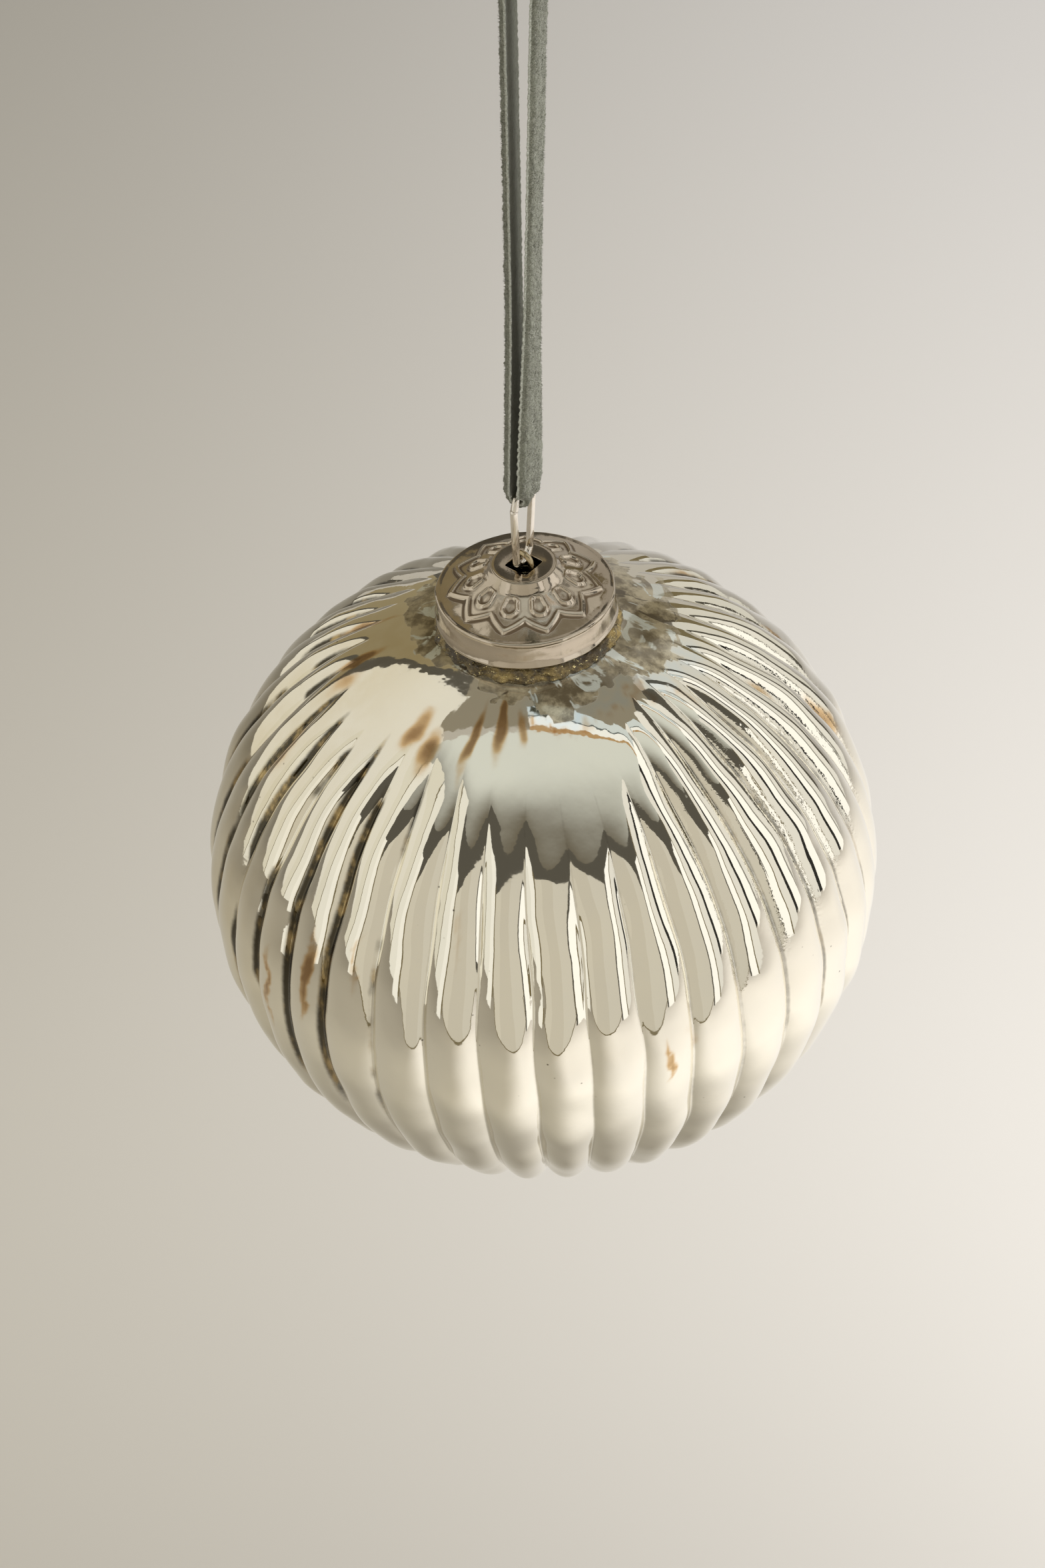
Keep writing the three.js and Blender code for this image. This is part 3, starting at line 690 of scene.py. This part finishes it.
hole_turn = math.radians(HOLE_TURN)
hole_cos, hole_sin = np.abs(np.cos(cap_turn - hole_turn)), np.abs(np.sin(cap_turn - hole_turn))
hole_radius = HOLE_OPEN / 2 / (hole_cos**SQUARENESS + hole_sin**SQUARENESS) ** (1 / SQUARENESS)
cap_rows, relief_rows = [], []


def cap_ring(radius, height, relief=0.0):
    cap_rows.append(around_axis(radius + 0 * cap_turn, height + relief, cap_turn)[0])
    relief_rows.append((relief + 0 * cap_turn)[0])


# Out from the hole over the slightly dished button and its rounded edge.
for share in (0.0, 0.03, 0.1, 0.25, 0.45, 0.65, 0.82, 0.94):
    ring_radius = hole_radius + (BUTTON_EDGE - 0.36 - hole_radius) * share
    dish = 0.10 * bell(share, 0, 0.35)
    cap_ring(ring_radius, BUTTON_Z - dish - 0.04 * (share == 0))
for a in np.radians([15, 32, 48]):
    cap_ring(BUTTON_EDGE - 0.3 + 0.42 * math.sin(a), BUTTON_Z - 0.4 + 0.4 * math.cos(a))
# Down the cove at the button's foot, and out over the pattern and the shoulder.
button_foot = float(cap_top(CONE_TOP_RADIUS))
cove_head = BUTTON_EDGE + 0.06
for radius in np.linspace(cove_head, CONE_FOOT - 0.2, RELIEF_ROWS):
    cove_share = np.clip((COVE_FOOT - radius) / (COVE_FOOT - cove_head), 0, 1)
    cove = (BUTTON_Z - 0.17 - button_foot) * cove_share**2
    cap_ring(radius, float(cap_top(radius)) + cove, cap_relief(radius, cap_turn))
for a in np.radians([0, 20, 40, 60, 80, 95, 110]):
    cap_ring(CAP_SHOULDER_RADIUS - 0.30 + 0.36 * math.sin(a), CAP_SHOULDER_Z - 0.30 + 0.36 * math.cos(a))
for radius, height in SKIRT_PROFILE:
    cap_ring(radius, height)
# Back in under the cone and the button.
for radius in (10.5, 8.5, 7, 6):
    cap_ring(radius, float(cap_top(radius)) - CAP_SHEET)
cap_ring(4.6, button_foot - 0.3)
cap_ring(4.15, BUTTON_Z - CAP_SHEET - 0.1)
cap_ring(hole_radius + 0.3, BUTTON_Z - CAP_SHEET)
cap_ring(hole_radius + 0.02, BUTTON_Z - CAP_SHEET + 0.04)
cap_rings = np.stack(cap_rows)
radial = np.hypot(cap_rings[..., 0], cap_rings[..., 1])
dents = sum(depth * waves(cap_rings, size, seed) for size, depth, seed in DENTS)
skirt = smoothstep(radial, 12.4, 12.7)
cap_rings = cap_rings * (1 + (dents * skirt / radial)[..., None] * np.array([1, 1, 0]))
cap_rings[..., 2] += dents * (1 - skirt) * smoothstep(radial, 4.6, 5.5)
relief = np.stack(relief_rows)
steps = (-7, -4, -2, 2, 4, 7)
round_about = sum(np.roll(relief, step, 1) + np.roll(relief, step, 0) for step in steps) / (2 * len(steps))
grime = np.clip(round_about - relief, 0, GRIME_DEPTH) / GRIME_DEPTH
cap = shell("cap_pressed", cap_rings, loop=True, matrix=BALL_MATRIX, fields=[("grime", grime)])
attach(cap, "ball")
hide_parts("cap")

# ---------- the wires ----------

arch = [
    (EYE_RADIUS * math.cos(a), CROWN_ABOVE_CENTRE - EYE_RADIUS * (1 - math.sin(a)))
    for a in np.radians(np.linspace(0, 180, 13))
]
under = GAP + CAP_SHEET + EYE_WIRE / 2
leg = [
    (8, float(cap_top(8)) - under - 0.5), (6.2, float(cap_top(6.2)) - under - 0.3),
    (4.4, float(cap_top(4.6)) - under - 0.35), (2.6, BUTTON_Z - under - 0.55),
    (1.6, BUTTON_Z - under + 0.1), (EYE_RADIUS, BUTTON_Z - 0.2),
]
eye_line = leg + arch + [(-x, z) for x, z in leg[::-1]]
eye = wire(
    "eye_wire",
    [(x * math.cos(hole_turn), x * math.sin(hole_turn), z) for x, z in eye_line],
    EYE_WIRE,
    (-math.sin(hole_turn), math.cos(hole_turn), 0),
    EYE_ROWS,
    matrix=BALL_MATRIX,
    waver=0.012,
)
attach(eye, "eye")
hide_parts("eye_pin")

# The link's two ends meet in a narrow gap under the ribbon's fold.
half = []
end_angle = GAP / 2 / RING_TOP_RADIUS
for a in np.linspace(end_angle, math.pi / 2, 9):
    half.append((RING_TOP_RADIUS * math.sin(a), RING_TOP_Z - RING_TOP_RADIUS * (1 - math.cos(a))))
for a in np.linspace(math.pi / 2, 0, 8)[:-1]:
    half.append((RING_FOOT_HALF_WIDTH * math.sin(a), RING_FOOT_Z + RING_FOOT_HEIGHT * (1 - math.cos(a))))
ring_line = half + [(0, RING_FOOT_Z)] + [(-y, z) for y, z in half[::-1]]
ring_path = [(0, y, z) for y, z in ring_line]
ring = wire("hanger_link", ring_path, RING_WIRE, (1, 0, 0), RING_ROWS, waver=0.010)
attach(ring, "hanger")
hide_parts("hanger_ring")

# ---------- materials ----------


def put(tree, target, value):
    if isinstance(value, bpy.types.NodeSocket):
        tree.links.new(value, target)
    else:
        target.default_value = value


def feed(tree, shader, **sockets):
    for socket, value in sockets.items():
        put(tree, shader.inputs[socket.replace("_", " ")], value)


def new_material(name, **constants):
    material = bpy.data.materials.new(name)
    material.use_nodes = True
    tree = material.node_tree
    shader = tree.nodes["Principled BSDF"]
    feed(tree, shader, **constants)
    return material, tree, shader


def node(tree, kind, inputs=None, output=0, **settings):
    made = tree.nodes.new(kind)
    for key, value in settings.items():
        setattr(made, key, value)
    for key, value in (inputs or {}).items():
        put(tree, made.inputs[key], value)
    return made.outputs[output]


def attribute(tree, name):
    return node(tree, "ShaderNodeAttribute", attribute_name=name, output="Fac")


def noise(tree, vector, scale, detail=3.0, roughness=0.55, distortion=0.0):
    sockets = {"Vector": vector, "Scale": scale, "Detail": detail}
    return node(tree, "ShaderNodeTexNoise", {**sockets, "Roughness": roughness, "Distortion": distortion})


def remap(tree, value, low, high, to_low=0.0, to_high=1.0):
    return node(
        tree, "ShaderNodeMapRange",
        {"Value": value, "From Min": low, "From Max": high, "To Min": to_low, "To Max": to_high},
        interpolation_type="SMOOTHSTEP",
    )


def maths(tree, operation, a, b=0.5, c=0.5):
    return node(tree, "ShaderNodeMath", {0: a, 1: b, 2: c}, operation=operation)


def mix(tree, factor, a, b, blend="MIX"):
    made = tree.nodes.new("ShaderNodeMix")
    made.data_type = "RGBA"
    made.blend_type = blend
    for socket, value in ((0, factor), (6, a), (7, b)):
        put(tree, made.inputs[socket], (*value, 1) if isinstance(value, tuple) else value)
    return made.outputs[2]


def bump(tree, shader, height, strength, distance):
    sockets = {"Height": height, "Strength": strength, "Distance": distance}
    feed(tree, shader, Normal=node(tree, "ShaderNodeBump", sockets))


def object_space(tree, stretch=None):
    """Places on the piece, or, with stretch, places whose pattern is drawn out along its axis."""
    where = node(tree, "ShaderNodeTexCoord", output="Object")
    if stretch is None:
        return where
    return node(tree, "ShaderNodeMapping", {"Vector": where, "Scale": (1, 1, stretch)})


def vector_maths(tree, operation, a, b):
    return node(tree, "ShaderNodeVectorMath", {0: a, 1: tuple(b)}, output="Value", operation=operation)


def times(tree, a, b):
    return maths(tree, "MULTIPLY", a, b)


def plus(tree, a, b):
    return maths(tree, "ADD", a, b)


def ragged(tree, field, pattern, amount):
    """A field whose edges are broken up by a pattern of mean 0.5."""
    return plus(tree, attribute(tree, field), maths(tree, "MULTIPLY_ADD", pattern, amount, -amount / 2))


# Silvered glass: a mirror behind clear glass, tarnished at the neck and stained in places, with painted shade
# and painted reflections in its valleys and painted highlights in the tarnish.
material, tree, shader = new_material(
    "silvered_glass", Coat_Weight=0.6, Coat_Roughness=0.01, Coat_IOR=1.5, IOR=1.5
)
where = object_space(tree)
streaky = object_space(tree, 0.25)
fine = noise(tree, where, 900, 4)
blotch = noise(tree, where, 70, 5, 0.6)
speck = node(tree, "ShaderNodeTexVoronoi", {"Vector": where, "Scale": 420.0}, output="Distance")
speck = times(tree, remap(tree, speck, 0.10, 0.02), remap(tree, noise(tree, where, 60, 2), 0.58, 0.64))
dull = remap(tree, ragged(tree, "tarnish", fine, 0.5), 0.35, 0.65)
stained = times(tree, attribute(tree, "brown"), maths(tree, "MULTIPLY_ADD", blotch, 1.2, 0.4))
brown_mask = remap(tree, stained, 0.12, 0.95)
colour = mix(tree, remap(tree, blotch, 0.35, 0.7), (0.90, 0.86, 0.745), (0.87, 0.835, 0.735))
streaks = remap(tree, noise(tree, streaky, 120, 4, 0.6), 0.3, 0.65, 0.25, 1.0)
# Yellower and streaky towards the left of the view.
colour = mix(tree, times(tree, attribute(tree, "yellower_at_left"), streaks), colour, (0.76, 0.68, 0.50))
colour = mix(tree, attribute(tree, "bare_band"), colour, (0.80, 0.84, 0.82))
colour = mix(tree, remap(tree, brown_mask, 0.0, 0.55), colour, (0.66, 0.46, 0.24))
colour = mix(tree, remap(tree, brown_mask, 0.35, 0.95), colour, (0.34, 0.20, 0.085))
# The valleys' dark to golden streaks: partly tarnish, partly painted shade and painted reflections.
valley_shade_and_tarnish_colour = remap(tree, noise(tree, streaky, 420, 4), 0.46, 0.70)
valley_shade_and_tarnish_colour = mix(tree, valley_shade_and_tarnish_colour, (0.05, 0.04, 0.02), (0.46, 0.33, 0.14))
colour = mix(tree, remap(tree, ragged(tree, "valley_shade_and_tarnish", fine, 0.24), 0.25, 0.85), colour, valley_shade_and_tarnish_colour)
orange_line = times(tree, attribute(tree, "orange"), remap(tree, blotch, 0.3, 0.6))
colour = mix(tree, orange_line, colour, (0.62, 0.40, 0.19))
tarnish_and_highlight_colour = remap(tree, noise(tree, where, 260, 6, 0.7), 0.38, 0.62)
tarnish_and_highlight_colour = mix(tree, tarnish_and_highlight_colour, (0.11, 0.08, 0.035), (0.46, 0.40, 0.27))
# In the tarnish, pale bluish patches are painted highlights, and the darkest patches are tarnish.
highlight_and_dark_patches = noise(tree, where, 130, 4, 0.6, 1.2)
tarnish_and_highlight_colour = mix(tree, remap(tree, highlight_and_dark_patches, 0.56, 0.60), tarnish_and_highlight_colour, (0.60, 0.64, 0.60))
tarnish_and_highlight_colour = mix(tree, remap(tree, highlight_and_dark_patches, 0.40, 0.36), tarnish_and_highlight_colour, (0.07, 0.05, 0.022))
colour = mix(tree, times(tree, dull, remap(tree, blotch, 0.3, 0.6, 0.60, 0.95)), colour, tarnish_and_highlight_colour)
colour = mix(tree, speck, colour, (0.12, 0.10, 0.07))
metal = maths(tree, "SUBTRACT", 1.0, times(tree, dull, 0.25))
soft = plus(tree, times(tree, dull, 0.06), times(tree, brown_mask, 0.12))
soft = plus(tree, soft, remap(tree, blotch, 0.3, 0.8, 0.025, 0.06))
feed(tree, shader, Base_Color=colour, Metallic=metal, Roughness=soft)
crinkle = times(tree, noise(tree, where, 1500, 2), times(tree, attribute(tree, "speckled"), 3.0))
bump(tree, shader, plus(tree, noise(tree, where, 260, 3), crinkle), 0.25, 0.00008)
ball.data.materials.append(material)

# Glue: cloudy amber, rough, with glittering specks.
material, tree, shader = new_material("glue", IOR=1.5, Coat_Weight=0.5, Coat_Roughness=0.15)
where = object_space(tree)
lumps = noise(tree, where, 500, 6, 0.65)
grit = noise(tree, where, 2200, 3)
colour = mix(tree, remap(tree, lumps, 0.38, 0.66), (0.055, 0.036, 0.012), (0.34, 0.245, 0.085))
colour = mix(tree, remap(tree, noise(tree, where, 90, 2), 0.56, 0.40), colour, (0.04, 0.026, 0.01))
colour = mix(tree, remap(tree, grit, 0.60, 0.72), colour, (0.88, 0.74, 0.38))
glitter = remap(tree, grit, 0.5, 0.7, 0.15, 0.7)
rough = remap(tree, grit, 0.3, 0.7, 0.55, 0.2)
feed(tree, shader, Base_Color=colour, Metallic=glitter, Roughness=rough)
bump(tree, shader, plus(tree, lumps, grit), 0.9, 0.0004)
glue.data.materials.append(material)

# Pressed nickel silver: warm, satin, darker in the hollows of its pattern.
material, tree, shader = new_material("cap_metal", IOR=1.5)
where = object_space(tree)
cloud = noise(tree, where, 180, 4)
grain = noise(tree, object_space(tree, 0.2), 2600, 2)
dirt = remap(tree, ragged(tree, "grime", cloud, 0.5), 0.2, 0.9)
colour = mix(tree, cloud, (0.44, 0.37, 0.285), (0.68, 0.605, 0.50))
colour = mix(tree, dirt, colour, (0.12, 0.085, 0.05))
metal = remap(tree, dirt, 0, 1, 1.0, 0.55)
satin = plus(tree, remap(tree, cloud, 0.3, 0.7, 0.10, 0.19), times(tree, dirt, 0.3))
feed(tree, shader, Base_Color=colour, Metallic=metal, Roughness=satin)
bump(tree, shader, grain, 0.18, 0.00005)
cap.data.materials.append(material)

# The link is polished and the eye dulled.
for piece, name, dark, light, smoothest, roughest in (
    (ring, "polished_wire", (0.66, 0.60, 0.52), (0.86, 0.82, 0.76), 0.05, 0.12),
    (eye, "dulled_wire", (0.34, 0.26, 0.14), (0.62, 0.53, 0.36), 0.14, 0.28),
):
    material, tree, shader = new_material(name, IOR=1.5, Metallic=1.0)
    streak = noise(tree, object_space(tree), 700, 3)
    rough = remap(tree, streak, 0.3, 0.7, smoothest, roughest)
    feed(tree, shader, Base_Color=mix(tree, streak, dark, light), Roughness=rough)
    piece.data.materials.append(material)

# Velvet: grey-green pile, a plain back and pale selvedges.
material, tree, shader = new_material(
    "velvet", IOR=1.4, Roughness=0.95, Specular_IOR_Level=0.15, Sheen_Weight=0.7, Sheen_Roughness=0.35,
    Sheen_Tint=(0.88, 0.88, 0.82, 1),
)
crush = noise(tree, object_space(tree, 0.22), 900, 4, 0.6)
tuft = noise(tree, object_space(tree), 5200, 3, 0.7)
colour = mix(tree, remap(tree, crush, 0.3, 0.7), (0.072, 0.074, 0.052), (0.175, 0.185, 0.145))
colour = mix(tree, remap(tree, tuft, 0.35, 0.75), colour, (0.29, 0.295, 0.24))
colour = mix(tree, attribute(tree, "back_face"), colour, (0.185, 0.19, 0.15))
thread = mix(tree, remap(tree, tuft, 0.3, 0.7), (0.30, 0.31, 0.26), (0.62, 0.64, 0.58))
colour = mix(tree, attribute(tree, "selvedge"), colour, thread)
feed(tree, shader, Base_Color=colour)
bump(tree, shader, plus(tree, tuft, crush), 0.8, 0.0003)
for piece in (ribbon, knot, *tail_pieces):
    piece.data.materials.append(material)

# ---------- the studio: a pale floor and soft light ----------

scene = bpy.context.scene
scene.view_settings.view_transform = "Standard"
# From here on the sizes are in metres.
FLOOR_Z = BALL_CENTRE.z - 0.6
FLOOR_RADIUS = 6
FLOOR_SIDES = 96
floor_rim = [
    (FLOOR_RADIUS * math.cos(a), FLOOR_RADIUS * math.sin(a), FLOOR_Z)
    for a in np.linspace(0, 2 * math.pi, FLOOR_SIDES, endpoint=False)
]
floor_mesh = bpy.data.meshes.new("floor")
floor_mesh.from_pydata(floor_rim, [], [list(range(FLOOR_SIDES))])
floor = bpy.data.objects.new("floor", floor_mesh)
scene.collection.objects.link(floor)
material, tree, shader = new_material("floor", Roughness=0.9)
where = object_space(tree)
towards = Vector((math.sin(CAMERA_AZIMUTH), -math.cos(CAMERA_AZIMUTH), 0))
across = vector_maths(tree, "DOT_PRODUCT", where, right)
away = vector_maths(tree, "DOT_PRODUCT", where, -towards)
# Painted shade: darker to the left and far off, and a painted shadow darkest under the ball.
painted_side_falloff = mix(tree, remap(tree, across, -0.35, 0.42), (0.53, 0.505, 0.45), (1.0, 0.985, 0.985))
painted_shadow_and_falloff = mix(tree, remap(tree, away, 0.3, 1.6), (1.0, 1.0, 1.0), (0.76, 0.775, 0.80))
beneath = vector_maths(tree, "DISTANCE", where, (*BALL_CENTRE.xy, FLOOR_Z))
painted_shadow_and_falloff = mix(tree, remap(tree, beneath, -0.1, 0.6), (0.40, 0.385, 0.355), painted_shadow_and_falloff)
feed(tree, shader, Base_Color=mix(tree, 1.0, painted_side_falloff, painted_shadow_and_falloff, "MULTIPLY"))
floor_mesh.materials.append(material)

world = bpy.data.worlds.new("studio")
world.use_nodes = True
background = world.node_tree.nodes["Background"]
feed(world.node_tree, background, Color=(0.50, 0.47, 0.42, 1), Strength=1.0)
scene.world = world


def glow(name, colour):
    """A shining material, whose colour is either plain or made by a function."""
    material = bpy.data.materials.new(name)
    material.use_nodes = True
    tree = material.node_tree
    tree.nodes.clear()
    shade = (*colour, 1) if isinstance(colour, tuple) else colour(tree)
    emission = node(tree, "ShaderNodeEmission", {"Color": shade})
    put(tree, tree.nodes.new("ShaderNodeOutputMaterial").inputs["Surface"], emission)
    return material


def unseen(name, points, faces, material):
    """A light card or flag, which the camera doesn't see."""
    mesh = bpy.data.meshes.new(name)
    mesh.from_pydata(points, [], faces)
    mesh.materials.append(material)
    card = bpy.data.objects.new(name, mesh)
    scene.collection.objects.link(card)
    card.visible_camera = False
    card.visible_shadow = False
    return card


CARD_RADIUS = 1.05
CARD_STEPS, CARD_RISES = 24, 8
BOW_AT = 42  # degrees from the camera's side where a card has all of its bow
THIN_CARD = 3  # degrees: a card lower than this keeps its height where it bows


def wall_card(name, turn_low, turn_high, low, high, colour, radius=CARD_RADIUS, bow=0):
    """A card on a sphere round the ball, between two angles round from the camera's side and two elevations.

    With bow, its foot rises by that many degrees at BOW_AT, and the head of a tall card falls by two thirds
    as much.
    """
    points = []
    for j in range(CARD_RISES + 1):
        share = j / CARD_RISES
        narrowing = 1 if high - low < THIN_CARD else 1 - 5 / 3 * share
        for i in range(CARD_STEPS + 1):
            round_at = turn_low + (turn_high - turn_low) * i / CARD_STEPS
            lift = bow * (round_at / BOW_AT) ** 2 * narrowing
            elevation = math.radians(low + lift + (high - low) * share)
            turn = math.radians(FRONT + round_at)
            level = math.cos(elevation)
            ray = Vector((level * math.cos(turn), level * math.sin(turn), math.sin(elevation)))
            points.append(BALL_CENTRE + radius * ray)
    row = CARD_STEPS + 1
    corners = [j * row + i for j in range(CARD_RISES) for i in range(CARD_STEPS)]
    faces = [[corner, corner + 1, corner + row + 1, corner + row] for corner in corners]
    return unseen(name, points, faces, glow(name, colour))


BLACK, DARK, OLIVE = (0.03, 0.029, 0.026), (0.10, 0.092, 0.075), (0.19, 0.155, 0.085)
CREAM, WHITE, PALE = (0.80, 0.77, 0.69), (1.15, 1.13, 1.09), (0.86, 0.84, 0.79)
for number, (low, high, colour) in enumerate((
    (-41, -22, (0.66, 0.62, 0.53)), (-22, 10, (0.61, 0.57, 0.485)), (10, 39, (0.66, 0.625, 0.545)),
)):
    wall_card(f"card_front_{number}", low, high, -26, 43, colour, bow=20)
wall_card("flag_front_foot", -44, 42, -27.2, -26, OLIVE, bow=20)
wall_card("flag_front_top", -57, 57, 25, 51, DARK, radius=1.12)
# Round the sides and the back: degrees round from and to, elevations from and to, and colour.
for number, (low, high, foot, top, colour) in enumerate((
    (-180, -166, 0, 50, DARK), (-166, -139, 0, 56, (0.30, 0.25, 0.15)), (-139, -135, -6, 60, DARK),
    (-135, -90, -4, 62, CREAM), (-90, -75, -8, 58, (0.76, 0.73, 0.63)), (-75, -73.5, -8, 52, OLIVE),
    (-73.5, -56, -8, 54, (0.86, 0.84, 0.77)), (-56, -44, -15, 37, (0.96, 0.94, 0.88)),
    (-44, -41, -12, 34, OLIVE), (39, 42, -14, 34, DARK), (42, 57, -14, 39, WHITE),
    (57, 59.5, -14, 50, OLIVE), (59.5, 77, -12, 60, PALE), (77, 84, -10, 62, BLACK),
    (84, 104, -12, 64, WHITE), (104, 108, -9, 60, (0.3, 0.29, 0.26)), (108, 123, -10, 62, PALE),
    (123, 130, -7, 58, DARK), (130, 150, -5, 55, (0.70, 0.68, 0.62)), (150, 157, -3, 50, OLIVE),
)):
    wall_card(f"card_side_{number}", low, high, foot, top, colour)
wall_card("flag_back_high", 104, 262, 58, 86, (0.28, 0.25, 0.19), radius=1.1)

OVERHEAD = 0.85


def overhead(name, left, over, near, far, colour):
    """A level card above the ball, between two places to the right of it and two towards the camera."""
    corners = [
        BALL_CENTRE + Vector((0, 0, OVERHEAD)) + x * right + y * towards
        for x, y in ((left, near), (over, near), (over, far), (left, far))
    ]
    return unseen(name, corners, [[0, 1, 2, 3]], glow(name, colour))


def falling(tree):
    """Bright at the back edge, darker towards the camera and to the left."""
    where = object_space(tree)
    forward = vector_maths(tree, "DOT_PRODUCT", where, towards)
    forward = maths(tree, "SUBTRACT", forward, BALL_CENTRE.dot(towards))
    sideways = vector_maths(tree, "DOT_PRODUCT", where, right)
    shade = mix(tree, remap(tree, forward, 0.10, 0.78), (0.70, 0.72, 0.675), (0.15, 0.13, 0.095))
    return mix(tree, remap(tree, sideways, -0.85, -0.28), (0.17, 0.155, 0.13), shade)


# The softbox, and the coloured strips along its back edge.
for name, left, near, far, colour in (
    ("softbox", -0.95, 0.0, 1.02, falling),
    ("softbox_edge", -0.10, -0.025, 0.0, (0.48, 0.31, 0.15)),
    ("softbox_white", -0.10, -0.07, -0.025, (0.95, 0.96, 0.94)),
    ("softbox_line", -0.10, -0.08, -0.07, (0.12, 0.14, 0.14)),
    ("softbox_blue", -0.10, -0.15, -0.08, (0.66, 0.72, 0.73)),
):
    overhead(name, left, 0.60, near, far, colour)

key = bpy.data.lights.new("key", "AREA")
key.shape = "DISK"
key.size = 1.6
key.energy = 33
key.color = (1.0, 0.985, 0.96)
key_light = bpy.data.objects.new("key", key)
key_place = Vector((0, 0, 1.5)) + 0.9 * right + 0.2 * towards
key_facing = key_place.to_track_quat("Z", "Y").to_matrix().to_4x4()
key_light.matrix_world = Matrix.Translation(BALL_CENTRE + key_place) @ key_facing
key_light.visible_glossy = False
scene.collection.objects.link(key_light)
